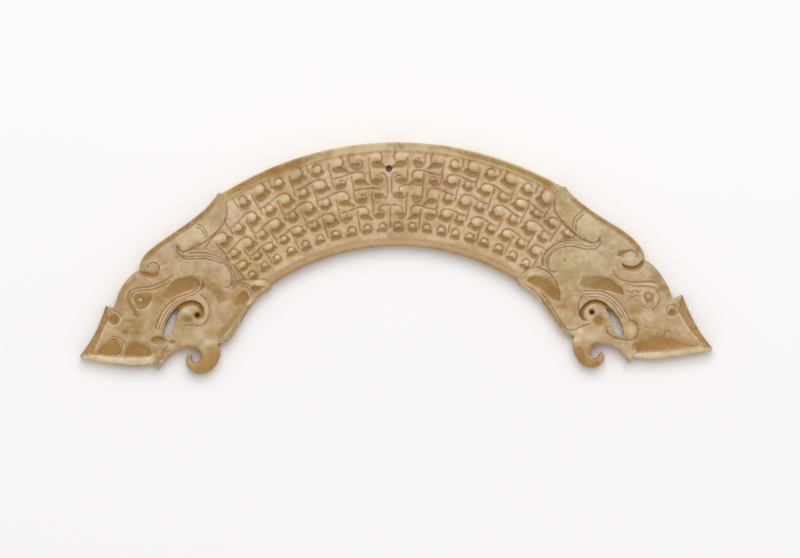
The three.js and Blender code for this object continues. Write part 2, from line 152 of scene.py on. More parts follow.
LEFT["grooves"] = [
    (2.4, 0.45, [(200, 243.5), (193, 248), (187, 251), (182.5, 251.8), (179.5, 250), (177.6, 246.5),
        (176.9, 244.5)]),
    (1.6, 0.25, [(226.5, 220), (228.6, 214.6), (232, 211.6), (235, 213.2), (234.6, 216.4), (231.8, 217.2)]),
    (1.8, 0.27, [(187, 253.3), (196, 253.2), (204, 253.3), (212, 254.6), (219, 257), (225, 261),
        (230, 266.5), (234, 273), (236.4, 280), (236, 283.5)]),
    (1.8, 0.27, [(181, 253.5), (184, 256.2), (190, 256.6), (203, 256.2), (211, 257), (218, 259.6),
        (223.5, 262.5), (228.5, 268), (232.3, 275), (233.4, 281), (232.5, 284.5)]),
    (1.9, 0.3, [(176.8, 246), (177.3, 251), (180, 255.6), (185, 258.8), (193, 259.2), (203, 258.7),
        (211, 260), (218, 262.3), (224, 264), (228.5, 269.5), (231, 275.5), (231.5, 281), (229.5, 286.5),
        (225.5, 287.5), (224.8, 285.3)]),
    (2, 0.34, [(228, 287), (234, 285), (240, 281), (246, 279.4), (256, 279.5), (266, 279.3)]),
    (1.6, 0.2, [(231, 290), (235, 287), (241, 283.5), (247, 279.6)]),
    (1.8, 0.27, [(195.5, 224.3), (199.5, 225), (203.3, 228), (206, 232.5), (207.3, 238)]),
    (1.8, 0.27, [(195, 227.4), (198.5, 228.3), (201.8, 230.8), (204.3, 235), (205, 239.3)]),
    (1.8, 0.27, [(135.8, 316.5), (132.3, 309.5), (128.6, 301.5), (127.9, 296.5), (130.2, 291.8),
        (134.5, 289), (141, 287.8), (149.5, 286.8), (157, 284.3), (164, 281.4), (169.5, 277.6),
        (174, 274.6)]),
    (1.6, 0.22, [(137.5, 315), (134.5, 308.5), (131.2, 302), (130.9, 297.3), (133.3, 293.2), (138, 291),
        (144, 290.3), (151, 290), (158.5, 287.6), (166, 284), (171, 280.4)]),
    (1.6, 0.24, [(131.5, 301.5), (134, 305.2), (138.5, 308), (143.5, 307.6), (147.5, 304.6), (150.2, 300),
        (151.8, 295.5)]),
    (1.5, 0.2, [(138.2, 300), (139, 298), (140.8, 297.3), (142.8, 298.2), (143.5, 300), (142.6, 302),
        (140.8, 302.7), (139, 302)]),
    (1.9, 0.3, [(147.8, 269.5), (147.9, 266), (150, 263.3), (153.3, 262.2), (157, 263.8), (159.3, 267),
        (158.6, 271)]),
    (1.5, 0.14, [(159.5, 266), (163, 264.5), (167, 263)]),
    (1.8, 0.27, [(108, 320.5), (110.5, 323.3), (114, 324.2), (117.5, 322), (119.7, 318), (119.3, 314.5),
        (117, 312.3), (111, 309)]),
    (1.5, 0.2, [(120, 314), (121, 316), (123.5, 315.5)]),
    (1.6, 0.24, [(110.5, 337.2), (116, 336.8), (121, 339.6), (124.6, 344), (125, 348.6), (122.6, 352.6),
        (118.5, 356)]),
    (1.6, 0.24, [(112.5, 339), (117, 339.2), (120.8, 342.2), (122.4, 346.6), (121, 351), (117, 354.4),
        (114, 356.2)]),
    (1.8, 0.27, [(155.5, 330), (157.5, 322.5), (161, 314.5), (165.5, 307.5), (170.5, 302.8), (177, 298),
        (184, 295.2), (191, 292.5), (196.5, 289.5), (199, 285.5), (199.5, 282.5)]),
    (1.6, 0.24, [(158.3, 331), (160.5, 323.5), (164.5, 315.5), (168.5, 309), (173, 304.3), (179.5, 300),
        (187, 296.8), (194, 294), (199, 290.5), (201.5, 286.5), (201.5, 281.5), (199, 278)]),
    (1.5, 0.2, [(161, 331), (163, 325.5), (166.3, 318), (170.5, 310.8), (175.5, 305.2), (182, 301),
        (188, 298.6)]),
    (1.8, 0.24, [(188, 277), (194, 276.6), (199.5, 278.5), (203, 282.5), (203, 287), (200.5, 291)]),
    (1.8, 0.27, [(200, 294.5), (205, 299), (208.5, 304.5), (209.5, 311), (208, 318), (204.5, 323.5),
        (199, 326), (193.5, 325)]),
    (1.6, 0.24, [(183, 326.5), (186.5, 325), (190.5, 325.3), (193.5, 324.5)]),
    (1.8, 0.27, [(249.5, 304.5), (243, 312.5), (237, 322), (231, 330.8), (225.5, 336.5), (219.5, 338.6)]),
    (1.6, 0.22, [(252, 304.5), (246, 312), (240.5, 321), (235, 329), (229, 336.5), (222.5, 340.8),
        (217.5, 340)]),
    (1.6, 0.2, [(240, 287), (246, 287), (250, 290.5), (252.5, 296.5)]),
    (1.6, 0.2, [(240, 284.5), (247, 284.5), (252, 288), (254.5, 294.5)]),
    (1.5, 0.19, [(157.2, 356.5), (158.1, 358.7), (160.2, 359.5), (162.3, 358.6), (163, 356.5),
        (162.1, 354.4), (160, 353.5)]),
    (1.5, 0.19, [(168, 345.5), (164.5, 350), (162.5, 354)]),
    (1.5, 0.19, [(170, 350), (165.5, 353)]),
    (1.8, 0.3, [(158.5, 360), (158.3, 367)]),
    (1.6, 0.2, [(151, 341), (155, 343.5), (160, 344.2), (165, 342.8), (168.5, 340)]),
]
LEFT["hollows"] = [
    (0.55, 3.4, (0.5, -1), [(160, 296), (166, 289), (170.5, 282), (175.5, 278.4), (182, 276.6), (192, 276.3),
        (199, 278.5), (201.3, 282.5), (199, 287.5), (192, 290.6), (184, 293.4), (175, 297), (167, 301)]),
    (0.35, 2.5, (0, 1), [(114, 311.8), (118, 314), (119.6, 318), (118, 322.4), (114, 324), (109.8, 322.2),
        (108.4, 318), (109.8, 313.8)]),
    (0.45, 3, (0.3, 1), [(97, 353.6), (99.5, 346), (104, 341), (111, 338), (117.5, 339.6), (121, 344.6),
        (121.4, 350.6), (118, 355.4), (108, 356.4)]),
    (0.5, 3, (0, 1), [(125.4, 347), (127, 342), (134, 340.6), (142, 343.4), (148.4, 347), (151.8, 351),
        (148.4, 355.4), (141, 357.2), (131, 357.4), (123.5, 356)]),
    (1, 2.4, (0, -1), [(150.4, 339), (154.5, 336.4), (160, 335.8), (165, 338), (168, 341.4), (164.5, 343),
        (158, 343.6), (153, 342)]),
    (0.35, 1.8, (0, -1), [(168, 342.3), (171.5, 339.6), (175.8, 341.2), (175.6, 343.8), (171.6, 345)]),
    (0.35, 2, (0, -1), [(250.5, 288), (254, 284.5), (260, 286), (268, 286.5), (262, 289), (256.5, 294),
        (252, 291)]),
    (0.35, 3, (0, -1), [(241, 291), (246, 290.5), (249, 294), (250, 299), (246, 303.5), (240, 309),
        (235, 309), (232, 303.5), (236, 297.5)]),
    (0.28, 2, (-0.3, 1), [(133, 297.5), (136, 293.8), (142, 292.3), (149, 292), (152.5, 293.5), (150.5, 300),
        (147.3, 304.8), (142.5, 308), (137.5, 306.5), (134, 302.5)]),
    (0.7, 2, (0, -1), [(138.6, 271), (143.5, 276.8), (150.6, 279.2), (156.5, 277.4), (159.6, 272.5),
        (158.4, 270.5), (153, 273), (147, 271.6), (142, 271)]),
]
LEFT["domes"] = [((140.8, 300), 2.8, True), ((153, 267.8), 5, False), ((187.2, 315), 7, True)]
LEFT["funnel"] = ((197.6, 315.4), 4.6)
LEFT["tongue_hole"] = (197, 315.6)
LEFT["notch"] = (219.8, 345)
# The pale streaks are painted highlights along the ridges, and the pink ones a pinkish tone with painted
# highlight.
LEFT["streaks"] = [
    ("stain_and_shade", 1, 4.8, [(217.8, 198.3), (212.8, 205), (206.7, 211.7), (197.2, 219.4), (187.2, 227.2),
        (177.2, 233.9), (166.1, 241.7), (156.1, 248.9), (148.3, 256.1), (143.3, 263.3)]),
    ("stain_and_shade", 1, 3.2, [(212.8, 205), (209, 209.5), (206.7, 211.7)]),
    ("stain_and_shade", 0.7, 5, [(137, 277.5), (128.5, 285), (122.5, 294), (118.5, 304)]),
    ("stain_and_shade", 0.6, 1.8, [(112, 363.2), (125, 365), (140, 365.9), (150, 364.4)]),
    ("stain_and_shade", 0.9, 10, [(201, 280), (208, 284), (215, 289.5), (220, 296), (223, 303)]),
    ("stain_and_shade", 0.9, 2, [(257.5, 302), (250.5, 311.8), (244, 322), (238, 331.5), (230.5, 338.6),
        (222, 342.8)]),
    ("stain_and_shade", 0.75, 7, [(243, 306), (236.5, 315), (229.5, 324), (222, 332), (215, 338)]),
    ("stain_and_shade", 0.8, 1.6, [(247.4, 302), (240, 312), (233, 322.5), (227, 330.5), (221, 335.5)]),
    ("stain_and_shade", 0.6, 3, [(183, 350.3), (175.5, 353.4), (169, 359), (163.5, 365)]),
    ("stain_and_shade", 0.8, 2.4, [(177, 347), (185, 346.2), (193, 345.8), (200, 349.5), (203.5, 355)]),
    ("pale", 0.9, 1.1, LEFT["snout"]),
    ("pale", 0.9, 1.3, [(107.6, 319.2), (109.2, 322.9), (113.4, 325.5), (118.1, 324.5), (120.7, 320.3),
        (119.7, 316), (116, 311.8), (111.8, 308.7)]),
    ("pale", 0.8, 1.3, [(130.7, 297), (133, 303), (137, 308.6), (141.5, 310.6), (146.5, 308.8), (150.5, 304),
        (153, 298.5)]),
    ("pale", 0.9, 1.2, [(111, 338.2), (117, 338), (121.5, 341), (124, 345.5), (123.6, 350), (121, 353.6),
        (117, 356.2)]),
    ("pale", 0.9, 2.4, [(253.8, 296), (246, 307.5), (237.5, 320), (230, 331.5), (221.5, 339.5)]),
    ("pale", 0.7, 1.4, [(147, 266.5), (150.5, 261.5), (156, 261), (160.5, 265.5), (160.5, 271)]),
    ("pale", 0.8, 1.3, [(93.4, 354.8), (103.4, 355.9), (118, 357.4), (131, 357.5), (144.4, 357.3),
        (149.7, 355.4), (153.9, 351.2)]),
    ("pink", 1, 6.5, [(158.5, 329), (163, 317.5), (170, 306.5), (180, 299.5), (192, 295.5), (199, 291)]),
    ("pink", 1, 5, [(191, 296.5), (199, 297.5), (205, 302.5), (208, 310), (206.6, 317), (202.5, 322.6),
        (196, 324.4)]),
    ("pale", 0.8, 1.3, [(157, 329), (160, 320.5), (164, 312.5), (169.5, 305.5), (176, 300.3), (184, 297),
        (192, 294.2), (198.3, 289.8), (200.6, 284.5)]),
    ("pale", 0.7, 1, [(160.6, 328), (164.4, 318.5), (169, 311), (174.6, 305), (181, 301)]),
    ("pink", 0.8, 4.5, [(181, 252), (192, 255), (204, 255), (216, 258.5), (225, 265), (231, 274)]),
]
# Among the spots, the stain and pit ones at (187.5, 319) are painted shade on the bead's lower side, and the
# pale ones at (185.5, 310.5) and (140.6, 300) are painted highlights on the bead and the pupil.
LEFT["spots"] = {
    "stain_and_shade": [((160, 298), 12, 7, 0.8), ((166.5, 290), 2.2, 1.6, 1), ((138, 349), 14, 8, 0.9),
        ((110, 348), 12, 9, 0.75), ((205, 363), 17, 11, 1), ((213, 355), 9, 10, 0.9),
        ((118, 297), 9, 14, 0.5), ((156, 339.6), 7, 4, 0.9), ((160, 351), 11, 8, 0.55),
        ((133, 326), 18, 11, 0.45), ((212, 332), 12, 4, 0.5), ((226, 321), 8, 5, 0.4),
        ((137, 334), 12, 5, 0.5), ((143, 312), 9, 6, 0.4), ((192, 285), 12, 6, 0.25),
        ((187.5, 319), 6, 4.5, 0.8), ((113, 319), 4.5, 4.5, 0.7), ((240, 300), 9, 9, 0.6),
        ((187, 282), 14, 5, 0.45), ((131, 321), 8, 4, 0.45), ((126.5, 331.3), 3, 2, 0.9),
        ((135, 333), 4, 2, 0.7), ((150, 273), 10, 5, 0.5), ((156, 360), 4, 6, 0.5),
        ((160, 356.6), 2.2, 2.2, 0.9), ((256, 288), 5, 3, 0.8), ((220, 249.5), 6, 3, 0.6)],
    "gold": [((205, 363), 17, 11, 1), ((194, 361), 5, 8, 0.9), ((218, 354), 8, 10, 0.9),
        ((112, 347), 10, 9, 0.75), ((143, 350), 7, 3, 0.9), ((92, 350), 6, 4, 0.8), ((165, 290), 22, 8, 0.5),
        ((238, 300), 8, 8, 0.6), ((214, 331), 10, 4, 0.5), ((156, 272), 8, 4, 0.6), ((160, 353), 6, 6, 0.5)],
    "pit": [((187.5, 319), 5.5, 4, 0.9), ((124.9, 331.6), 4, 2.4, 0.9), ((135.9, 332.7), 5.4, 2.4, 0.75),
        ((131.6, 321), 5.4, 2.8, 0.7), ((137.6, 315.4), 2.8, 2.4, 0.8), ((143, 326), 3, 2.4, 0.4),
        ((134, 347), 6, 6, 0.8), ((146, 354), 7, 2.6, 0.8), ((114, 339.6), 3, 2, 0.8)],
    "pale": [((105, 359.5), 30, 4, 1), ((135, 361.5), 18, 3, 0.6), ((200, 233), 14, 12, 0.7),
        ((211, 342.5), 7, 3, 0.8), ((200, 333), 12, 6, 0.4), ((224, 276), 8, 6, 0.3),
        ((188, 238), 12, 8, 0.5), ((140.6, 300), 2, 2, 0.5), ((258, 282.5), 10, 3, 0.8),
        ((185.5, 310.5), 4.5, 3, 0.8)],
    "pink": [((111, 329), 7, 5, 0.9), ((124, 318), 8, 4, 0.5), ((192, 349), 10, 5, 0.3),
        ((168, 345), 8, 5, 0.5)],
}

RIGHT = {"side": 1}
RIGHT["runs"] = joined([
    [(565.3, 186.8), (570, 192.5), (578, 200), (591, 209.8), (606, 219.8), (621, 229), (633, 238.3),
        (640.5, 246.8), (644.2, 254), (644.6, 259.8)],
    [(651, 263.8), (658.5, 271.3), (665, 281), (669.8, 290), (672.6, 298.4)],
    [(676.5, 297.6), (682.3, 294.6)],
    [(687, 306.5), (693, 319), (701, 333), (708, 342.5), (713.3, 348.6)],
    [(709, 351.2), (697, 353.6), (680, 356.4), (663, 359), (650, 359.8), (640, 358.6), (633, 356.8)],
    [(629.9, 363.6)],
    [(625.5, 357), (620, 351.2), (611.5, 346.2), (603, 344.2), (595.5, 345), (591.2, 349.2), (590.6, 354.5),
        (594, 358.2), (598.3, 357), (600, 353.6)],
    [(602.4, 351.6)],
    [(604.6, 357.5), (602.6, 363), (597, 366.9), (590.5, 367.8), (582.5, 365), (576.8, 358), (573.6, 350),
        (572.3, 343), (573.2, 338.6)],
    [(571.8, 336)],
    [(566.5, 334.8), (560.5, 329.4), (553.5, 319.2), (546.5, 309.4), (538, 299), (527, 289.4),
        (518.2, 284.8)],
])
RIGHT["slot"] = [(623.4, 334.8), (623.4, 330), (621.3, 324.3), (617.8, 317.8), (612.8, 311.8), (609, 309.2),
    (606, 308.6), (607.2, 311.4), (609.6, 316.7), (612, 322.5), (613.8, 328.3), (615.6, 333), (620, 335.6)]
RIGHT["channels"] = [
    (5.6, 1.4, [(624, 333), (623.4, 327.9), (620.6, 321.3), (616.3, 314.7), (610.8, 307.6), (604.8, 302.2),
        (598.8, 299.6), (592.7, 299.4), (587.3, 301.6), (582.4, 306), (579.6, 310.4), (579.3, 314.7),
        (581.3, 319.1), (585.6, 322.4), (590, 322.9)]),
]
RIGHT["land"] = joined([
    [(556, 197.5), (554.8, 207), (558, 214.5), (566, 223.5), (574, 231.4), (584.5, 240.4)],
    [(574, 239.2), (563, 240), (553.5, 244.5), (546.5, 251), (543, 259), (543.5, 266)],
    [(533, 267.8), (526, 270.5), (521.5, 275.5), (517.5, 279.5)],
])
RIGHT["beyond"] = [(510, 290), (560, 390), (735, 390), (735, 175), (555.5, 175)]
RIGHT["snout"] = [(678, 312), (682.5, 319.5), (687.4, 327.3), (693, 334), (698.8, 340)]
RIGHT["lip"] = [(706, 347.5), (698.8, 345), (683.6, 347.6), (658.3, 351.4), (645, 352.3), (639.3, 353),
    (635, 354.5), (631.7, 357.7)]
RIGHT["grooves"] = [
    (2.4, 0.45, [(577, 234.5), (583, 239.2), (589, 242.2), (595, 242.9), (599, 240.5), (600.4, 236.5)]),
    (1.8, 0.27, [(543.8, 266), (543, 261), (545, 254.5), (549.5, 249), (556, 244.5), (563, 241.8),
        (571, 241), (578, 242)]),
    (1.8, 0.27, [(546.5, 264.5), (547, 258.5), (551, 252.5), (557, 247.3), (564, 244), (572, 243.2),
        (580, 245), (587, 246.6), (593, 246.2), (598, 243.2), (600.3, 238)]),
    (1.9, 0.3, [(557, 271), (553, 272.2), (549, 269), (547.8, 263.5), (549.8, 257), (554, 252), (560, 248),
        (567, 246.3), (574, 246.4), (582, 248.4), (589, 249.4), (595.5, 248.4), (600, 244.5), (601, 240)]),
    (1.8, 0.27, [(583.8, 210.8), (579, 213.8), (575, 217.5), (573, 223), (573.2, 229.5)]),
    (1.8, 0.27, [(585.5, 213.8), (580.5, 217), (576.8, 221.5), (575.7, 226.5), (576, 231.5)]),
    (1.9, 0.27, [(613.2, 269.5), (614.5, 274), (618.5, 278), (623.5, 280.6), (631, 282.2), (641, 282.3),
        (650, 281.8), (656, 283)]),
    (1.6, 0.22, [(624, 283.5), (630, 284.8), (637, 286), (646, 286), (653, 287.3), (656, 288.8)]),
    (1.6, 0.22, [(656, 289), (659, 294), (659.5, 300), (657, 305), (653, 309.5), (653.5, 311.5)]),
    (1.6, 0.22, [(643.5, 298), (645, 294.5), (648.5, 293), (652, 294.5), (653.5, 298), (652, 301.5),
        (648.5, 303), (645, 301.5)]),
    (1.5, 0.19, [(640, 305), (646, 308), (651, 308.5)]),
    (1.5, 0.19, [(629, 290.5), (632, 292.5), (635, 290), (638, 292.5), (641, 290)]),
    (1.5, 0.19, [(629, 295.5), (633, 297), (637, 295.5), (640, 297.5)]),
    (2, 0.34, [(622, 264), (627, 267), (632, 268.3), (638, 266), (642.5, 262), (644.5, 258)]),
    (1.8, 0.27, [(623, 258.5), (624, 254), (628, 251), (633, 251), (637, 254), (637.5, 258)]),
    (1.8, 0.27, [(677, 308.5), (675, 305.6), (671.5, 304.6), (668, 306), (666.3, 309.8), (667.5, 313.6),
        (671, 316), (675, 315.2), (677.5, 312)]),
    (1.6, 0.24, [(671, 333.5), (669, 330.8), (665.5, 332.2), (663.2, 337)]),
    (1.4, 0.11, [(643, 327), (650, 328.5), (657, 328.5), (664, 331)]),
    (1.9, 0.3, [(607, 328), (607.5, 332.5), (612, 336.5), (620, 339.3), (629, 340.3), (635, 338),
        (638, 332.5), (637.5, 326), (634, 321.5), (629.5, 320.5)]),
    (1.8, 0.27, [(583.5, 290.5), (590, 291), (598, 291.3), (606, 293), (613, 297.5), (619, 303),
        (624, 309.5), (628, 316.5), (630.5, 322.5)]),
    (1.6, 0.24, [(585, 294.5), (592, 293.8), (600, 294.3), (607, 296.8), (613, 301), (618.5, 306.8),
        (623, 313.5), (626.5, 320.5)]),
    (1.5, 0.2, [(588, 296.5), (600, 297.4), (608, 300.5), (614, 305.5), (619, 312.5), (623, 320)]),
    (1.8, 0.27, [(583, 295), (579.8, 300.5), (578.3, 307.5), (579.5, 314), (583, 318.8), (588.5, 321)]),
    (1.5, 0.2, [(604, 326), (608, 327), (612.5, 326.5)]),
    (1.8, 0.27, [(541, 293), (547, 300.5), (553, 309.5), (559, 318.5), (564, 325.5), (569, 330.3),
        (574, 329.5)]),
    (1.6, 0.22, [(537, 294.5), (543.5, 302), (550, 311.5), (556, 320.5), (561.5, 328), (567, 332.8),
        (571.5, 333.5)]),
    (1.8, 0.24, [(572.5, 332), (578, 328.5), (585, 325.5), (590.5, 323.8)]),
    (2, 0.34, [(524, 271), (530, 268), (537, 267.6), (544, 269.8), (550, 273.5), (554, 279), (557, 285),
        (559.5, 292), (559.8, 296.5)]),
    (1.6, 0.2, [(543, 281.5), (548, 279), (553, 279)]),
    (1.6, 0.2, [(543, 284), (549, 281.5), (553.5, 281.5)]),
    (1.5, 0.19, [(636, 341), (633, 346), (632, 351)]),
    (1.8, 0.27, [(589, 356), (593, 352), (597, 350.5)]),
]
RIGHT["hollows"] = [
    (0.8, 3.2, (0.7, 1), [(579.5, 280.5), (582.5, 276.5), (589, 275), (597, 274.8), (606, 276.2),
        (612, 278.8), (618, 284), (623.6, 288.4), (624, 295.8), (615, 293.3), (604, 291.2), (592, 290.4),
        (584, 289.4), (580.5, 285)]),
    (0.8, 2.6, (-0.3, 1), [(668, 312.5), (669.5, 309.4), (673, 308.2), (675.8, 310.4), (675.4, 314),
        (671.8, 315.6), (668.8, 314.8)]),
    (0.4, 5, (0, 1), [(633, 348.5), (632.5, 344), (637, 340.5), (646, 338), (655, 334.5), (664, 334),
        (672, 335.8), (682, 340.5), (692, 345), (682, 348), (668, 350), (655, 351.8), (645, 352.6),
        (637, 353.6)]),
    (0.5, 2, (0, 1), [(643.4, 297), (645, 293.4), (648.5, 291.8), (652, 293.4), (653.6, 297), (652, 300.6),
        (648.5, 302.2), (645, 300.6)]),
    (0.45, 3, (-0.6, 1), [(526, 281), (530, 276.5), (537, 274.5), (546, 277), (554, 283), (560, 290.5),
        (561.5, 300), (556, 301.5), (549, 297), (541, 290), (533, 285.6)]),
    (0.7, 1.3, (0, -1), [(621.6, 261), (625, 264.4), (631, 265.8), (637, 264.6), (642, 260), (644.4, 264),
        (639.5, 270), (633, 272.6), (627, 271), (622.6, 266.6)]),
    (0.6, 2, (0, 1), [(616.6, 255.8), (618.5, 251.6), (623.5, 249.2), (631, 249.4), (633.5, 251.4),
        (626.5, 252.6), (623.4, 255.6), (622.6, 259.5), (620.4, 257.2)]),
    (0.3, 1.8, (0, -1), [(644, 301), (646.5, 303.8), (650.5, 304), (653.5, 301.5), (654.5, 304), (650, 307),
        (645, 306)]),
]
RIGHT["domes"] = [((648.5, 297), 2.6, True), ((629.6, 257.4), 6, False), ((598.2, 319), 5.6, True)]
RIGHT["funnel"] = ((591.8, 312.2), 3.8)
RIGHT["tongue_hole"] = (591.8, 312.4)
RIGHT["notch"] = (571.8, 337.3)
# The pale streaks are painted highlights along the ridges, and the pink ones a pinkish tone with painted
# highlight.
RIGHT["streaks"] = [
    ("stain_and_shade", 1, 4.8, [(568.5, 195.5), (576, 202.7), (589, 212.6), (604, 222.6), (619, 232), (630.5, 240.8),
        (637.6, 248.5), (641, 255)]),
    ("stain_and_shade", 0.7, 4, [(649, 268), (656, 275.5), (661, 283)]),
    ("stain_and_shade", 0.8, 4.5, [(663, 284), (667, 291), (669.5, 297)]),
    ("stain_and_shade", 0.6, 1.4, [(646, 261.7), (652, 265.7), (659, 273.2), (665.4, 283.2), (670, 292)]),
    ("stain_and_shade", 0.8, 1.8, [(527, 290.4), (537, 299.9), (545.5, 310.4), (552.5, 320.4), (559.5, 330),
        (566, 334)]),
    ("stain_and_shade", 0.6, 1.8, [(522, 282.6), (536, 291.5), (548.5, 306.5), (559.5, 322), (568, 330.5)]),
    ("stain_and_shade", 0.9, 9, [(577.5, 346), (580, 354), (585, 360.5), (592, 362.5), (600, 360)]),
    ("stain_and_shade", 0.75, 3, [(600, 346), (608, 347), (616, 350.4), (622.5, 355), (628, 361)]),
    ("stain_and_shade", 0.9, 2.4, [(588, 355), (588.6, 349), (592.5, 344.4), (598, 342.6)]),
    ("stain_and_shade", 0.7, 1.5, [(700, 346.5), (683.6, 349), (660, 352.6)]),
    ("stain_and_shade", 0.5, 6, [(543, 300), (551, 312), (559, 322), (566, 327.5)]),
    ("pale", 1, 1.2, RIGHT["snout"]),
    ("pale", 0.9, 1.3, [(678.5, 313.4), (671, 317.2), (665.9, 312), (667.2, 305.8), (673.5, 302)]),
    ("pale", 0.8, 1.4, [(698.8, 345.4), (683.6, 347.8), (658.3, 351.7), (645, 352.6), (639.3, 353.3),
        (635, 354.8), (632.2, 357.4)]),
    ("pale", 0.9, 2, [(520, 283.5), (534.6, 293.8), (547, 309), (557.7, 324.3), (566, 333)]),
    ("pale", 0.8, 1.2, [(526, 281.5), (539, 292), (551, 307), (561, 321.5), (570, 329.5)]),
    ("pale", 0.55, 1.8, [(583.5, 278), (579, 280.5), (578, 285.5), (581, 290)]),
    ("pale", 0.8, 1.6, [(584, 292.4), (592, 292.4), (600, 292.8), (607, 295), (614, 299.2), (620, 305),
        (625, 312), (629, 320)]),
    ("pale", 0.7, 1, [(586, 295.5), (594, 295.6), (602, 296.8), (609, 300.6), (616, 307), (621, 314.5)]),
    ("pale", 0.8, 1.6, [(620, 280.6), (628, 284.3), (638, 284.4), (648, 284.2), (656, 286.2)]),
    ("pale", 0.7, 1.6, [(624, 288), (630, 289), (636, 288), (642, 289.5), (648, 288.6)]),
    ("pale", 0.7, 1.2, [(642.4, 292), (642, 298), (644.6, 303), (649, 304.4), (653.5, 302.4), (656, 297)]),
    ("pale", 0.6, 4.5, [(548, 262), (553, 252), (562, 245), (573, 243.5), (584, 246.5), (594, 246.3),
        (600, 241)]),
    ("pink", 0.9, 4.5, [(584, 292.5), (598, 294), (610, 299), (620, 309), (627, 321)]),
    ("pink", 1, 3.4, [(585.6, 314), (588, 317.4), (592.5, 317.6), (596.5, 314.5), (596.8, 309.5),
        (593, 305.8), (588.4, 306.6), (585.6, 310.2)]),
    ("pale", 0.6, 1.4, [(586, 313.6), (586.4, 309.4), (589.4, 306.4), (593.4, 306.4)]),
    ("pink", 0.8, 4, [(614, 272), (620, 279.5), (633, 284.5), (646, 284.2), (655.5, 285.5), (658.5, 293),
        (657, 303), (651.5, 309.5)]),
]
# Among the spots, the pit one at (598.8, 319.5) and the stain one at (599, 321) are painted shade on the
# bead's lower side.
RIGHT["spots"] = {
    "gold": [((587, 366), 14, 5, 1), ((600, 356), 5, 8, 0.9), ((576, 356), 7, 9, 0.3),
        ((668, 344), 30, 6, 0.9), ((655, 331), 16, 5, 0.5), ((540, 285), 7, 6, 0.6),
        ((625, 283), 14, 8, 0.4), ((700, 336), 4, 8, 0.5)],
    "pit": [((598.8, 319.5), 6, 5.6, 1), ((690, 345.5), 9, 1.4, 0.6), ((633, 311), 3, 6, 0.5)],
    "stain_and_shade": [((599, 321), 5, 5.4, 1), ((642, 346), 10, 6, 0.7), ((664, 343), 26, 8, 0.7),
        ((580, 350), 8, 9, 0.35), ((597.7, 352), 3, 3, 1), ((623.5, 252), 5, 2.4, 0.9),
        ((628, 268), 6, 3, 0.7), ((655, 277), 6, 6, 0.9), ((662, 288), 5, 5, 0.8),
        ((637.5, 292), 1.6, 1.6, 0.9), ((641, 296), 1.4, 1.6, 0.8), ((633, 286.4), 1.2, 0.9, 0.9),
        ((638, 286.8), 1.2, 0.9, 0.9), ((643, 286.8), 1.2, 0.9, 0.9), ((648, 287), 1.2, 0.9, 0.9),
        ((652.6, 288), 1.2, 0.9, 0.9), ((631.6, 292.6), 1.4, 1.2, 0.8), ((535, 281), 7, 4, 0.7),
        ((551, 292), 8, 7, 0.8), ((636, 309), 10, 8, 0.6), ((636, 320), 6, 8, 0.5), ((652, 338), 24, 9, 0.6),
        ((565, 259.8), 2.4, 1.5, 0.9), ((568.5, 263.5), 2, 1, 0.8), ((573, 306), 5, 8, 0.5),
        ((671.6, 312), 3, 3, 1), ((627.3, 290.6), 1.8, 1.8, 1), ((562, 306), 8, 3, 0.6),
        ((622, 337), 9, 2.6, 0.7), ((706, 345.5), 5, 3, 0.8), ((575, 211), 2, 2, 0.5)],
    "pale": [((655, 356), 26, 3.6, 1), ((690, 350), 14, 2.6, 0.5), ((585, 220), 18, 12, 0.6),
        ((580, 256), 24, 10, 0.35), ((580, 331), 6, 4, 0.8), ((629.4, 257.8), 5, 5, 0.6),
        ((631, 329), 4.5, 6, 0.5), ((650, 316), 12, 5, 0.3), ((535, 273.5), 9, 2.4, 0.7),
        ((577, 339), 6, 5, 0.8), ((592, 336), 9, 5, 0.6), ((590, 365), 6, 2.4, 0.6)],
    "pink": [((632, 290), 8, 4, 0.9), ((648, 296), 10, 8, 0.7), ((625, 272), 10, 4, 0.7),
        ((680, 325), 8, 10, 0.5), ((590, 330), 8, 6, 0.4), ((612, 329), 5, 5, 0.5)],
}
HEADS = (LEFT, RIGHT)

# The field's grid. Columns are the angles of their borders, from the axis outwards, and rows are the
# radii of theirs, from the rim inwards. Some borders drift inwards towards the two ends.
COLUMNS = {
    1: (-1.75, 1.9, 5.1, 8.6, 12.1, 15.4, 19.1, 22.7, 26.5, 30.2, 33.7, 37.2),
    -1: (-1.75, -5.3, -8.9, -12.8, -16.7, -20.4, -24.1, -28, -31.4, -35, -38.8, -42.5),
}
ROWS = (318, 300, 283.5, 265, 249, 234)
LAST_ROW = len(ROWS) - 1
ROW_DRIFTS = {1: (0, -3, 0, 0, 0, 0), -1: (0, -3, -5.5, -4, 0, 0)}
DRIFT_FROM, DRIFT_TO = 15, 33
FIELD_GROOVE = (1.9, 0.28)

# A curl's groove in shares of its cell: the first number runs away from the axis and the second
# outwards. A hook ends a groove that runs in along a row, and a spiral ends one that comes down.
HOOK_LEAD = [(2, 0.8), (1.5, 0.83)]
HOOK = [(1, 0.95), (0.75, 0.98), (0.52, 0.94), (0.37, 0.84), (0.31, 0.68), (0.31, 0.5), (0.37, 0.34)]
RIM_HOOK = [(0.42, 0.98), (0.33, 0.82), (0.3, 0.62), (0.37, 0.46), (0.52, 0.4), (0.68, 0.45)]
SPIRAL_LEAD = [(1, 1.78), (1.02, 1.4), (1, 1)]
RIM_SPIRAL_LEAD = [(1, 0.98), (1.02, 0.8)]
SPIRAL = [(1.02, 0.6), (0.98, 0.32), (0.87, 0.17), (0.67, 0.11), (0.47, 0.16), (0.36, 0.34), (0.37, 0.5),
          (0.47, 0.6), (0.6, 0.62), (0.67, 0.52)]
PEARL_LEAD = [(1, 1.78), (1.02, 1.4), (1, 1), (1.01, 0.6), (1, 0.4)]
RIM_PEARL_LEAD = [(1, 0.95), (1.01, 0.6), (1, 0.4)]
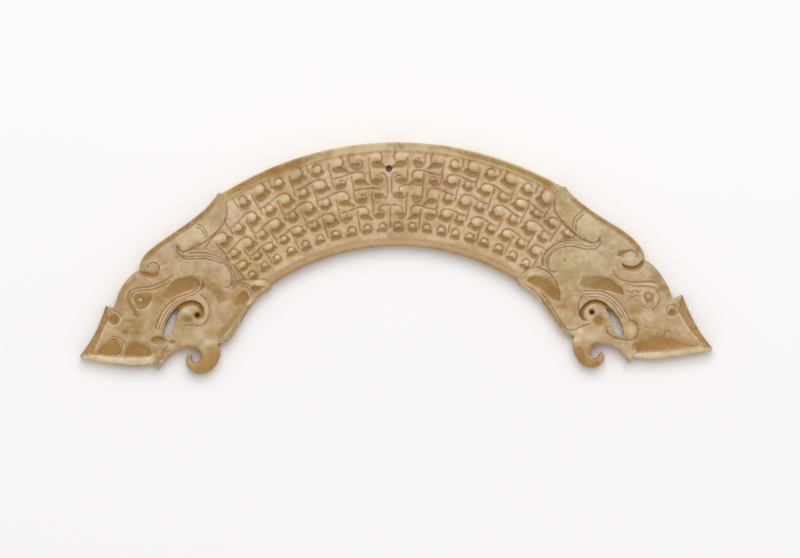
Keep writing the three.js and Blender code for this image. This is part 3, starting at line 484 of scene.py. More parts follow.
PEARL_LOOP = [(0.44, 0.42), (0.36, 0.52), (0.36, 0.66), (0.44, 0.78), (0.58, 0.82), (0.72, 0.77),
              (0.79, 0.66)]
LAST_BORDER = [(1, 1.85), (1, 1), (1, 0.35)]
ARCHES = {
    1: [(0.25, 0.42), (0.27, 0.68), (0.4, 0.83), (0.6, 0.83), (0.76, 0.68), (0.8, 0.32)],
    -1: [(0.75, 0.42), (0.72, 0.66), (0.58, 0.81), (0.4, 0.81), (0.27, 0.66), (0.22, 0.32)],
}
# The grooves of each kind of curl: against the rim, and in the rows below.
LINKS = {
    "big": ([RIM_HOOK], [HOOK_LEAD + HOOK]),
    "round": ([RIM_HOOK], [HOOK_LEAD + HOOK]),
    "small": ([RIM_SPIRAL_LEAD + SPIRAL], [SPIRAL_LEAD + SPIRAL]),
    "pearl": ([RIM_PEARL_LEAD, PEARL_LOOP], [PEARL_LEAD, PEARL_LOOP]),
    "axis": ([], []),
}

# Grooves at the axis, where the two halves of the pattern meet.
AXIS_GROOVES = [
    [(379, 175), (381, 173), (384.5, 174), (386.5, 178), (387.5, 186), (388, 193), (386.5, 197),
     (383, 199.5)],
    [(398, 173), (394, 173.5), (392, 177), (391.5, 188), (392.5, 194), (395, 197.5), (400, 198.5),
     (406, 197), (407.5, 192)],
    [(372, 168), (385, 167.5)],
    [(391, 167), (406, 167)],
    [(353.5, 191.3), (362, 189.5), (370, 188.4), (376.7, 188.7), (380, 190.3), (380.5, 191.8)],
    [(422, 185.6), (408.9, 185.3), (403.3, 185), (399.4, 187.2), (398.9, 190.5), (400.5, 191.7)],
    [(379.4, 211.4), (379, 208.3), (382.4, 205.6), (390.4, 205), (398.4, 205.2), (401.8, 207.6),
     (402.2, 211.6)],
    [(390.4, 205), (390.4, 229)],
]

# The kinds of curl, in shares of a cell: its head is a low dome, whose power makes it round or square,
# and the pit below it is bounded by two lines, each a list of shares away from the axis and a list of
# shares outwards. Big and small ones take turns near the axis, and round ones and pearls further out.
CURLS = {
    "big": {
        "head": (0.65, 0.71), "half": (0.33, 0.24), "height": 0.24, "power": 2.6,
        "top": ((0.03, 0.2, 0.35, 0.45, 0.7, 0.97), (0.04, 0.2, 0.38, 0.48, 0.48, 0.46)),
        "bottom": ((0.03, 0.2, 0.4, 0.7, 0.97), (0.03, 0, 0, 0.05, 0.16)),
    },
    "small": {
        "head": (0.51, 0.53), "half": (0.15, 0.11), "height": 0.22, "power": 2.2,
        "top": ((0.37, 0.41, 0.5, 0.65, 0.86, 0.97), (0.3, 0.43, 0.48, 0.5, 0.47, 0.33)),
        "bottom": ((0.37, 0.41, 0.5, 0.65, 0.86, 0.97), (0.29, 0.2, 0.13, 0.1, 0.16, 0.32)),
    },
    "round": {
        "head": (0.6, 0.63), "half": (0.28, 0.28), "height": 0.36, "power": 2,
        "top": ((0.08, 0.18, 0.28, 0.37, 0.43, 0.52, 0.62, 0.72, 0.8, 0.88, 0.97),
                (0.3, 0.46, 0.56, 0.57, 0.46, 0.41, 0.39, 0.41, 0.47, 0.5, 0.4)),
        "bottom": ((0.08, 0.25, 0.6, 0.85, 0.97), (0.26, 0.08, 0, 0.04, 0.25)),
    },
    "pearl": {
        "head": (0.58, 0.58), "half": (0.21, 0.21), "height": 0.32, "power": 2,
        "top": ((0.18, 0.26, 0.36, 0.43, 0.5, 0.58, 0.66, 0.74, 0.84, 0.95),
                (0.34, 0.48, 0.55, 0.46, 0.41, 0.39, 0.41, 0.47, 0.52, 0.38)),
        "bottom": ((0.18, 0.32, 0.58, 0.8, 0.95), (0.32, 0.14, 0.05, 0.1, 0.32)),
    },
    "last": {
        "head": (0.48, 0.63), "half": (0.2, 0.15), "height": 0.22, "power": 2.2,
        "top": ((0.14, 0.24, 0.4, 0.6, 0.8, 0.93), (0.28, 0.42, 0.5, 0.52, 0.45, 0.28)),
        "bottom": ((0.14, 0.24, 0.4, 0.6, 0.8, 0.93), (0.26, 0.16, 0.08, 0.08, 0.14, 0.26)),
    },
    "axis": {
        "head": (0.68, 0.78), "half": (0.22, 0.12), "height": 0.15, "power": 2.6,
        "top": ((0.27, 0.3, 0.5, 0.84, 0.88), (0.6, 0.65, 0.66, 0.65, 0.6)),
        "bottom": ((0.27, 0.3, 0.5, 0.84, 0.88), (0.35, 0.3, 0.27, 0.29, 0.35)),
    },
}
AXIS_CELL = (0, 3)
ROUND_FROM_COLUMN = 3
# No curl stands on a head's land, or nearer to it than this.
CURL_CLEARANCE = 1.5
CURL_SEED = 11
# How much each curl strays by chance, as shares of its cell, its height, its depth and its tone.
CURL_JITTER, HEIGHT_JITTER, DEPTH_JITTER, TONE_JITTER = 0.04, 0.2, 0.15, 0.12
# How a curl's head and the painted highlight on it rise, and how deep a pit has to be to end the head.
HEAD_CURVE, HEAD_HIGHLIGHT_CURVE, HEAD_ENDS_AT = 0.6, 0.5, 0.02
# A pit is deepest under the head and comes up below. Its end and its least height are shares of the
# cell, and its wall and tones are shares of its own height. Its tone is brown stain with painted shade,
# darkest just under the head.
PIT_DEPTH, PIT_CURVE = 0.42, 0.6
PIT_END, PIT_WALL, PIT_LEAST = 0.1, 0.16, 1e-3
PIT_TONE_WALL, PIT_TONE_FADE, PIT_TONE_FADE_FROM = 0.12, 0.85, 0.45
# The stain and painted shade below and beside each curl's head, in shares of its cell.
CURL_STAIN_AND_SHADE_CENTRE, CURL_STAIN_AND_SHADE_HALF, CURL_STAIN_AND_SHADE_STRENGTH = (0.7, 0.32), (0.32, 0.28), 0.6

# A groove's two ends: how much of its depth they keep, and the stretch they fade over, in pixels and at
# most as a share of the groove. Its tone, painted shade with dirt, reaches a little past its walls, and
# is weaker if it is shallow.
END_DEPTH, END_FADE, END_FADE_SHARE = 0.25, 1.6, 0.45
GROOVE_HAZE, FULL_TONE_DEPTH = 0.25, 0.2

# The step down from a head's land to the field, how far off it still counts, the groove along it, and
# the land's soft shoulder.
LAND_WALL, LAND_REACH = 1.3, 12
LAND_GROOVE_AT, LAND_GROOVE_HALF, LAND_GROOVE_HAZE, LAND_GROOVE_MARGIN = 0.5, 1.5, 0.15, 3
SHOULDER_WIDTH, SHOULDER_FALL = 4.5, 0.25
# The channel along a head's upper edge: the distances from the edge at which it starts, is full, starts
# to end and has ended, its depth, and the shares of the run where it starts and over which it deepens.
EDGE_CHANNEL, EDGE_CHANNEL_DEPTH = (1.3, 2.9, 4.6, 5.6), 0.35
EDGE_CHANNEL_FROM, EDGE_CHANNEL_RISE = 0.02, 0.15
# The runs of a head's outline by number, and those whose edge is rounded further: (run, width, depth).
UPPER_RUN, SNOUT_RUN, LIP_RUN = 0, 3, 4
ROUNDED_RUNS = ((8, 6, 0.5), (10, 2.6, 0.35), (1, 2.2, 0.25), (6, 2, 0.2), (4, 2.2, 0.25))
# How wide and deep the rounding of every edge is, and how near to an edge a point still lies on it.
EDGE_ROUND, EDGE_ROUND_DEPTH, ON_EDGE = 0.9, 0.28, 0.3
# The snout falls in a step beside its ridge and then evenly. Its brown, ochre stain with painted shade,
# follows in the same way.
SNOUT_DROP, SNOUT_STEP, SNOUT_STEP_WIDTH = 0.7, 0.55, 0.15
SNOUT_SHADE_AND_STAIN, SNOUT_SHADE_AND_STAIN_GAIN, SNOUT_SHADE_AND_STAIN_WIDTH = 0.85, 0.1, 0.12
# The lip is rounded across, and pale, with a painted highlight that follows its rounding.
LIP_DROP, LIP_CURVE, LIP_PALENESS, LIP_PALE_CURVE = 0.35, 0.6, 0.85, 0.3
# A hollow's shallow side as shares of its depth and tone, how fast its tone deepens down the wall and
# towards the deep side, and the tone it would have without depth. The tone is brown stain with painted
# shade, darker where the hollow is deeper.
SHALLOW_DEPTH, SHALLOW_TONE = 0.3, 0.4
WALL_TONE_RATE, LEAN_TONE_RATE, LEAST_TONE = 1.3, 1.6, 0.6
# A channel's outer wall is steep and its inner side rises slowly: the wall's width, the share of the
# line over which an end fades, how fast its depth, tone and gold fade, and how strong the gold is. The
# tone is painted shade with brown stain, darkest just inside the outer wall.
CHANNEL_WALL, CHANNEL_END = 1.3, 0.2
CHANNEL_RATE, CHANNEL_TONE_RATE, CHANNEL_GOLD_RATE, CHANNEL_GOLD = 1.3, 1.8, 1.6, 0.8
FUNNEL_DEPTH, FUNNEL_TONE_RATE = 2, 1.6
DOME_FALL, DOME_CURVE, DOME_CLEAR_FROM, DOME_TONE_TO = 0.8, 3, 0.75, 0.97
NOTCH_DEPTH, NOTCH_RADIUS, NOTCH_TONE_RADIUS, NOTCH_WALL = 1.2, 1.7, 2.3, 0.8
# How a spot fades outwards, how far a streak reaches in half widths, and the share over which its ends
# fade.
SPOT_FALL, SPOT_CURVE = 1.2, 1.3
STREAK_REACH, STREAK_END = 1.4, 0.08
# The faces wave a little: (length, phase) of a swell across and down, and the lengths of a ripple.
UNDULATION = 0.02
WAVE_ACROSS, WAVE_DOWN, RIPPLE, RIPPLE_SHARE = (23, 1.3), (17, 0.4), (9.1, 12.7), 0.5
# Edges that turn by more degrees than this stay sharp in the shading.
SHARP_ANGLE = 62

# How brown the walls of each loop are: the outline, then a slot and a tongue hole for each head, then
# the cord hole.
WALLS_BROWNED = (0, 0, 1, 0, 1, 1)

# What each point of the mesh carries for its colours. The groove, pit and stain marks hold painted shade
# along with stain and dirt, and the boss, pale and pink marks hold painted highlights along with paler
# tones.
MARKS = ("groove", "pit", "boss_highlight", "field", "outer", "inner", "bore", "stain_and_shade", "pale", "pink", "gold",
         "land")

# How a picture stores a colour: its highest value, and the curve of its tones, whose lowest part is
# straight.
HIGHEST, STRAIGHT_TO, STRAIGHT_SLOPE, CURVE_OFFSET, CURVE_POWER = 255, 0.04045, 12.92, 0.055, 2.4
# The sockets of a Mix node that blends colours.
MIX_AMOUNT, MIX_UNDER, MIX_OVER, MIX_RESULT = 0, 6, 7, 2
# The stone's colours as a picture stores them, a little darker and yellower than they come out.
COLOURS = {
    "cream": (202, 184, 146), "warm": (203, 174, 135), "pink": (206, 174, 143),
    "olive": (182, 158, 98), "ochre": (168, 130, 74), "brown": (140, 106, 66),
    "pale": (221, 205, 164), "grey": (162, 144, 112), "rim cream": (210, 193, 146),
    "rim brown": (166, 137, 96), "dark ochre": (154, 116, 40), "rust": (147, 103, 46),
    "smudge": (150, 113, 74), "land shade": (122, 88, 48), "gold": (170, 130, 58),
    "pit olive": (142, 106, 28), "pit brown": (140, 95, 36), "line": (122, 84, 44),
    "bore": (150, 84, 24),
}
# Noises: (the size of their blotches in metres, detail, roughness).
NOISES = {
    "clouds": (0.012, 3, 0.55), "patches": (0.018, 3, 0.55), "ochres": (0.008, 4, 0.6),
    "mottle": (0.003, 4, 0.6), "speckle": (0.0014, 5, 0.65), "grain": (0.0006, 4, 0.6),
    "ragged": (0.0022, 5, 0.7), "streaky": (0.0011, 5, 0.7),
}
# Colours in two tones: (noise, the two values between which it turns, the two colours).
TWO_TONES = {
    "body": ("clouds", 0.38, 0.6, "cream", "warm"),
    "rim": ("ochres", 0.48, 0.68, "rim cream", "ochre"),
    "stain_and_shade": ("mottle", 0.42, 0.6, "dark ochre", "rust"),
    "pit": ("ochres", 0.4, 0.6, "pit olive", "pit brown"),
}
# Marks with a ragged edge: (how much of the ragged noise is added, the values that become 0 and 1).
RAGGED_MARKS = {"stain_and_shade": (0.9, 0.42, 1.32), "pit": (0.6, 0.3, 1.12)}
# What covers the body, in this order: (mark, strength, colour). A strength is a number, or a noise with
# the two values between which it turns and the strength at each. Without a mark the layer is all over.
LAYERS = (
    ("field", 0.5, "pink"),
    (None, ("patches", 0.42, 0.66, 0, 0.62), "olive"),
    (None, ("mottle", 0.44, 0.72, 0, 0.6), "ochre"),
    (None, ("mottle", 0.5, 0.3, 0, 0.5), "pale"),
    (None, ("speckle", 0.48, 0.76, 0, 0.45), "brown"),
    (None, ("grain", 0.4, 0.7, 0, 0.25), "grey"),
    # A painted highlight on the curls' heads.
    ("boss_highlight", 0.34, "pale"),
    ("land", 0.26, "land shade"),
    ("outer", 0.7, "rim"),
    ("inner", 0.75, "rim brown"),
    ("field", ("ochres", 0.46, 0.66, 0, 0.5), "smudge"),
    # Paler tones and painted highlights on the ridges, the lip and the domes.
    ("pale", ("speckle", 0.35, 0.65, 0.95, 0.55), "pale"),
    ("pink", 0.55, "pink"),
    # Brown stains, with painted shade below the curls' heads, on the domes' lower sides, down the snouts and
    # along the inner edge.
    ("stain_and_shade", ("streaky", 0.32, 0.62, 1, 0.6), "stain_and_shade"),
    # Brown stain with painted shade in the pits, hollows, channels, funnels and notches.
    ("pit", ("streaky", 0.32, 0.65, 1, 0.72), "pit"),
    ("gold", ("ragged", 0.35, 0.62, 0.9, 0.4), "gold"),
    # Painted shade with dirt in the grooves.
    ("groove", ("ragged", 0.35, 0.6, 0.35, 0.65), "line"),
    ("bore", 1, "bore"),
)
# The polish: the sums of grain and pit between which it dulls, and the roughness at each.
POLISH = (0.3, 1.4, 0.36, 0.6)
STONE_IOR, STONE_SPECULAR = 1.61, 0.36
# Bumps: (noise, depth in metres, strength).
BUMPS = (("grain", 0.00006, 0.5), ("speckle", 0.00012, 0.5))

# The stage, in metres. The camera's sensor is in millimetres.
PHOTO_SIZE = (800, 558)
CAMERA_HEIGHT, SENSOR_WIDTH = 1.5, 36
FLOOR_SIZE, FLOOR_GAP = 6, 0.00005
FLOOR_COLOUR, FLOOR_ROUGHNESS, FLOOR_SPECULAR = (245, 244, 245), 0.9, 0.1
WORLD_COLOUR, WORLD_STRENGTH = (1, 0.968, 0.935, 1), 0.64
KEY_DIRECTION, KEY_DISTANCE, KEY_SIZE = (0.05, 0.58, 1), 1.6, 1.3
KEY_POWER, KEY_TINT = 15.4, (0.975, 0.985, 1)


def polar(radius, degrees):
    """Pixels at a radius and an angle from the crown."""
    angle = np.radians(degrees)
    return np.stack((ARC_CENTRE[0] + radius * np.sin(angle), ARC_CENTRE[1] - radius * np.cos(angle)), -1)


def turns_and_radii(points):
    """Each point's angle from the crown and its radius, the inverse of polar()."""
    offset = points - ARC_CENTRE
    return np.degrees(np.arctan2(offset[:, 0], -offset[:, 1])), np.hypot(*offset.T)


def smooth(value):
    """Rises smoothly from 0 at 0 to 1 at 1."""
    value = np.clip(value, 0, 1)
    return value * value * (3 - 2 * value)


def fade_ends(share, ends):
    """1 along a line, down to 0 at its two ends over this share of it."""
    return smooth(share / ends) * smooth((1 - share) / ends)


def even(line, step):
    """Even points along a line of straight pieces, its two ends included."""
    run = np.concatenate(([0], np.cumsum(np.hypot(*np.diff(line, axis=0).T))))
    count = max(2, round(run[-1] / step))
    at = np.linspace(0, run[-1], count + 1)
    return np.column_stack([np.interp(at, run, line[:, axis]) for axis in (0, 1)])


def spread(points, step, closed=False):
    """Even points along a smooth curve through the given ones."""
    given = np.array(points, float)
    ends = (given[-1:], given[:2]) if closed else (given[:1], given[-1:])
    given = np.vstack((ends[0], given, ends[1]))
    share = np.linspace(0, 1, CURVE_SAMPLES, endpoint=False)[:, None]
    pieces = []
    for before, start, end, after in zip(given, given[1:], given[2:], given[3:]):
        leave, arrive = (end - before) / 2, (after - start) / 2
        cubic = 2 * start - 2 * end + leave + arrive
        square = -3 * start + 3 * end - 2 * leave - arrive
        pieces.append(((cubic * share + square) * share + leave) * share + start)
    return even(np.vstack(pieces + [given[-2:-1]]), step)


def circle(centre, radius, step):
    """Even points round a circle."""
    angles = np.linspace(0, 2 * math.pi, round(2 * math.pi * radius / step), endpoint=False)
    return np.array(centre) + radius * np.column_stack((np.cos(angles), np.sin(angles)))


def closed_up(loop):
    """A loop with its first point again at its end."""
    return np.vstack((loop, loop[:1]))


def sidesteps(line):
    """The unit direction to the left of a line at each of its points."""
    along = np.gradient(line, axis=0)
    along /= np.maximum(np.hypot(*along.T), TINY)[:, None]
    return np.column_stack((along[:, 1], -along[:, 0]))


def within(points, line, reach):
    """The numbers of the points that lie in a line's box, widened by reach."""
    low, high = line.min(0) - reach, line.max(0) + reach
    return np.flatnonzero(((points >= low) & (points <= high)).all(1))


def nearest(points, line):
    """Each point's distance to a line, the share of the line at the nearest place, and its side."""
    start, piece = line[:-1], np.diff(line, axis=0)
    squared = np.maximum((piece ** 2).sum(1), TINY)
    distance, share, side = np.empty((3, len(points)))
    block = max(1, PAIRS_AT_ONCE // len(piece))
    for first in range(0, len(points), block):
        part = slice(first, first + block)
        reach = points[part, None] - start
        along = np.clip((reach * piece).sum(2) / squared, 0, 1)
        gap = reach - along[..., None] * piece
        squares = (gap ** 2).sum(2)
        best = squares.argmin(1)
        row = np.arange(len(best))
        distance[part] = np.sqrt(squares[row, best])
        share[part] = (best + along[row, best]) / len(piece)
        side[part] = np.sign(piece[best, 0] * gap[row, best, 1] - piece[best, 1] * gap[row, best, 0])
    return distance, share, side


def inside(points, loop):
    """True for the points that lie within a closed loop."""
    result = np.zeros(len(points), bool)
    near = within(points, loop, 0)
    start, end = loop, np.roll(loop, -1, 0)
    rise = np.where(end[:, 1] == start[:, 1], TINY, end[:, 1] - start[:, 1])
    block = max(1, PAIRS_AT_ONCE // len(loop))
    for first in range(0, len(near), block):
        part = points[near[first:first + block]]
        spans = (start[:, 1] > part[:, None, 1]) != (end[:, 1] > part[:, None, 1])
        reach = start[:, 0] + (part[:, None, 1] - start[:, 1]) / rise * (end[:, 0] - start[:, 0])
        result[near[first:first + block]] = (spans & (part[:, None, 0] < reach)).sum(1) % 2 == 1
    return result


def oval(x, y, centre, half):
    """How far a place is from a centre, in half widths and half heights, squared."""
    return ((x - centre[0]) / half[0]) ** 2 + ((y - centre[1]) / half[1]) ** 2


def drift_at(angle):
    """How much of its drift a row has at an angle."""
    return smooth((np.abs(angle) - DRIFT_FROM) / (DRIFT_TO - DRIFT_FROM))


def cell(side, column, row, share):
    """The pixel at a share of a cell of the field. Row 1 lies against the outer rim."""
    away, out = np.array(share, float).T
    borders = np.array(COLUMNS[side])
    angle = np.interp(column + away, np.arange(len(borders)), borders)
    radii = [ROWS[k] + ROW_DRIFTS[side][k] * drift_at(angle) for k in (row, row - 1)]
    return polar(radii[0] + (radii[1] - radii[0]) * out, angle)


def cell_places(points):
    """Each point's side of the axis, column, row and shares of its cell, the inverse of cell()."""
    angle, radius = turns_and_radii(points)
    side = np.where(angle < COLUMNS[1][0], -1, 1)
    along, down = np.zeros(len(points)), np.zeros(len(points))
    for way, borders in COLUMNS.items():
        chosen = side == way
        along[chosen] = np.interp(way * angle[chosen], way * np.array(borders), np.arange(len(borders)))
        drifts = np.array(ROW_DRIFTS[way])[:, None] * drift_at(angle[chosen])
        radii = np.array(ROWS)[:, None] + drifts
        share = (radii[:-1] - radius[chosen]) / (radii[:-1] - radii[1:])
        down[chosen] = np.clip(share, 0, 1).sum(0)
    column, row = np.floor(along).astype(int), np.floor(down).astype(int)
    return side, column, np.minimum(row, LAST_ROW - 1) + 1, along - column, 1 - (down - row)


def kind_of(column, row):
    """The kind of curl that a cell holds."""
    if row == LAST_ROW:
        return "last"
    if (column, row) == AXIS_CELL:
        return "axis"
    kinds = ("pearl", "round") if column >= ROUND_FROM_COLUMN else ("small", "big")
    return kinds[(row + column) % 2]


def land_edge(head, step=HEAD_STEP):
    """The line where a head's land steps down to the field."""
    return np.vstack([spread(run, step) for run in head["land"]])


def land_loop(head):
    """The land's edge, closed by a wide way round the head."""
    return np.vstack((land_edge(head), np.array(head["beyond"], float)))


def standing_curls():
    """Every cell that holds a curl: its side, column, row and kind, and how it strays from the rule."""
    chance = np.random.default_rng(CURL_SEED)
    lands = [(land_edge(head), land_loop(head)) for head in HEADS]
    for side in COLUMNS:
        for column in range(len(COLUMNS[side]) - 1):
            for row in range(1, LAST_ROW + 1):
                stray = chance.uniform(-1, 1, 4)
                kind = kind_of(column, row)
                middle = cell(side, column, row, [CURLS[kind]["head"]])
                if all(nearest(middle, edge)[0][0] > CURL_CLEARANCE and not inside(middle, loop)[0]
                       for edge, loop in lands):
                    yield side, column, row, kind, stray


def field_grooves(curls):
    """The hooked and spiral grooves that link the curls, and the arches of the last row."""
    lines = list(AXIS_GROOVES)
    for side, column, row, kind, _ in curls:
        if kind == "last":
            shapes = [ARCHES[side]] + [LAST_BORDER] * (column % 2)
        else:
            at_rim, below = LINKS[kind]
            shapes = at_rim if row == 1 else below
        lines += [cell(side, column, row, shape) for shape in shapes]
    return lines


def head_ring(side, column, row, kind, share):
    """A ring round a curl's head, at a share of its half widths."""
    centre, half = np.array(CURLS[kind]["head"]), np.array(CURLS[kind]["half"])
    turn = np.linspace(0, 2 * math.pi, RING_SAMPLES)[:, None]
    return cell(side, column, row, centre + share * half * np.hstack((np.cos(turn), np.sin(turn))))


def pit_top(side, column, row, kind, drop):
    """The line where a curl's head falls into its pit, or one a little further down."""
    away, out = CURLS[kind]["top"]
    return cell(side, column, row, np.column_stack((away, np.array(out) - drop)))


def outline_loops():
    """The outer edge, the two slots, the two tongue holes and the cord hole, as closed loops."""
    edges = []
    for head in HEADS:
        runs = [spread(run, OUTLINE_STEP)[:-1] for run in head["runs"]]
        edges.append(np.vstack(runs + [np.array(head["runs"][-1][-1:], float)]))
    inner = polar(INNER, np.linspace(*INNER_ENDS, INNER_POINTS))
    outer = polar(OUTER, np.linspace(*OUTER_ENDS[::-1], OUTER_POINTS))
    loops = [np.vstack((edges[0], inner, edges[1][::-1], outer))]
    for head in HEADS:
        loops.append(spread(head["slot"], OUTLINE_STEP, closed=True)[:-1])
        loops.append(circle(head["tongue_hole"], TONGUE_HOLE_RADIUS, OUTLINE_STEP))
    loops.append(circle(*CORD_HOLE, OUTLINE_STEP))
    return loops


def raster_cells(points):
    """The raster's row and column for each point."""
    column, row = ((points - RASTER_CORNER) * CELLS_PER_PIXEL).astype(int).T
    return np.clip(row, 0, RASTER_ROWS - 1), np.clip(column, 0, RASTER_COLUMNS - 1)


def fill_raster(loops):
    """A raster that is true inside the first loop and outside the others."""
    middles = RASTER_CORNER[1] + (np.arange(RASTER_ROWS) + 0.5) / CELLS_PER_PIXEL
    flips = np.zeros((RASTER_ROWS, RASTER_COLUMNS), np.uint8)
    for loop in loops:
        for start, end in zip(loop, np.roll(loop, -1, 0)):
            rows = np.flatnonzero((middles > start[1]) != (middles > end[1]))
            if not len(rows):
                continue
            x = start[0] + (middles[rows] - start[1]) / (end[1] - start[1]) * (end[0] - start[0])
            columns = ((x - RASTER_CORNER[0]) * CELLS_PER_PIXEL + 0.5).astype(int)
            flips[rows, columns] ^= 1
    return np.bitwise_xor.accumulate(flips, axis=1).astype(bool)


class Scatter:
    """The points of one face. A new point is left out where one already stands within its room."""

    def __init__(self, loops):
        self.plate = fill_raster(loops)
        self.taken = np.zeros_like(self.plate)
        self.groups = []
        for loop in loops:
            self.keep(loop)

    def keep(self, points):
        self.groups.append(points)
        self.taken[raster_cells(points)] = True

    def on_plate(self, points):
        """True for the points that have the plate all round them, tested in eight directions."""
        clear = np.ones(len(points), bool)
        for angle in np.arange(0, 2 * math.pi, math.pi / 4):
            step = PLATE_MARGIN * np.array((math.cos(angle), math.sin(angle)))
            clear &= self.plate[raster_cells(points + step)]
        return clear

    def add(self, points, room):
        points = points[self.on_plate(points)]
        row, column = raster_cells(points)
        reach = round(room * CELLS_PER_PIXEL)
        crowded = np.zeros(len(points), bool)
        for down in range(-reach, reach + 1):
            for across in range(-reach, reach + 1):
                if down * down + across * across <= reach * reach:
                    crowded |= self.taken[row + down, column + across]
        self.keep(points[~crowded])

    def beside(self, line, gaps, room, closed=False):
        """Points on both sides of a line, at each of the gaps."""
        across = sidesteps(line)
        for gap in gaps:
            for way in (1, -1):
                points = line + way * gap * across
                self.add(points[:-1] if closed else points, room)


def lattice(step, low, high):
    """Points in staggered rows between two corners."""
    rise = step * math.sqrt(3) / 2
    rows = np.arange(low[1], high[1], rise)
    across = np.arange(low[0], high[0], step)
    x, y = np.meshgrid(across, rows)
    x[1::2] += step / 2
    return np.column_stack((x.ravel(), y.ravel()))


def finely_carved(points):
    """True where the surface is worked finely: in the field, and near the strokes of the heads."""
    result = np.ones(len(points), bool)
    for head in HEADS:
        lines = [spread(line, COARSE_STEP) for _, _, line in head["grooves"]]
        lines += [spread(line, COARSE_STEP, closed=True) for _, _, _, line in head["hollows"]]
        chosen = np.flatnonzero(inside(points, land_loop(head)))
        near = np.zeros(len(chosen), bool)
        for line in lines:
            close = within(points[chosen], line, FINE_REACH)
            near[close] |= nearest(points[chosen[close]], line)[0] < FINE_REACH
        result[chosen] = near
    return result


def scatter_face(loops, steps, strokes, curls):
    """All the points of a face, the loops first. A point that comes early keeps its place."""
    scatter = Scatter(loops)
    step = steps["stroke"]
    edge_gaps = [share * EDGE_ROUND for share in EDGE_SHARES]
    for loop in loops:
        scatter.beside(closed_up(loop), edge_gaps, ROOM["edge"] * EDGE_ROUND, closed=True)
    lines = [(width, spread(points, step)) for width, points in strokes]
    for _, line in lines:
        scatter.add(line, ROOM["line"] * step)
    for *place, _ in curls:
        for drop in PIT_SHARES:
            scatter.add(even(pit_top(*place, drop), step), ROOM["pit"] * step)
    for width, line in lines:
        scatter.beside(line, (width / 2,), ROOM["side"] * step)
    for *place, _ in curls:
        for share in RING_SHARES:
            scatter.add(even(head_ring(*place, share), step), ROOM["ring"] * step)
    for head in HEADS:
        scatter.beside(land_edge(head, step), (0, LAND_WALL), ROOM["land"] * step)
        for _, wall, _, points in head["hollows"]:
            loop = spread(points, step, closed=True)
            scatter.beside(loop, (0, wall / 2, wall), ROOM["hollow"] * step, closed=True)
    corners = loops[0].min(0), loops[0].max(0)
    fine = lattice(steps["field"], *corners)
    scatter.add(fine[finely_carved(fine)], ROOM["field"] * steps["field"])
    scatter.add(lattice(steps["plain"], *corners), ROOM["plain"] * steps["plain"])
    return np.vstack(scatter.groups)


def stroke_depths(points, strokes):
    """How deep the grooves cut, and a tone of painted shade with dirt that is 1 on their centre lines."""
    depth, tone = np.zeros(len(points)), np.zeros(len(points))
    for width, deep, given in strokes:
        line = spread(given, STROKE_STEP)
        close = within(points, line, width)
        if not len(close):
            continue
        distance, share, _ = nearest(points[close], line)
        ends = min(END_FADE_SHARE, END_FADE / (STROKE_STEP * len(line)))
        taper = END_DEPTH + (1 - END_DEPTH) * fade_ends(share, ends)
        off_centre = distance / (width / 2)
        wall, haze = (np.clip(1 + past - off_centre, 0, 1) for past in (0, GROOVE_HAZE))
        depth[close] = np.maximum(depth[close], deep * wall * taper)
        tone[close] = np.maximum(tone[close], haze * taper * min(1, deep / FULL_TONE_DEPTH))
    return depth, tone


def land_distance(points):
    """Each point's distance from the land of the nearest head, 0 on the land."""
    result = np.full(len(points), FAR)
    for head in HEADS:
        edge = land_edge(head)
        near = within(points, edge, LAND_REACH)
        result[near] = np.minimum(result[near], nearest(points[near], edge)[0])
    for head in HEADS:
        result[inside(points, land_loop(head))] = 0
    return result


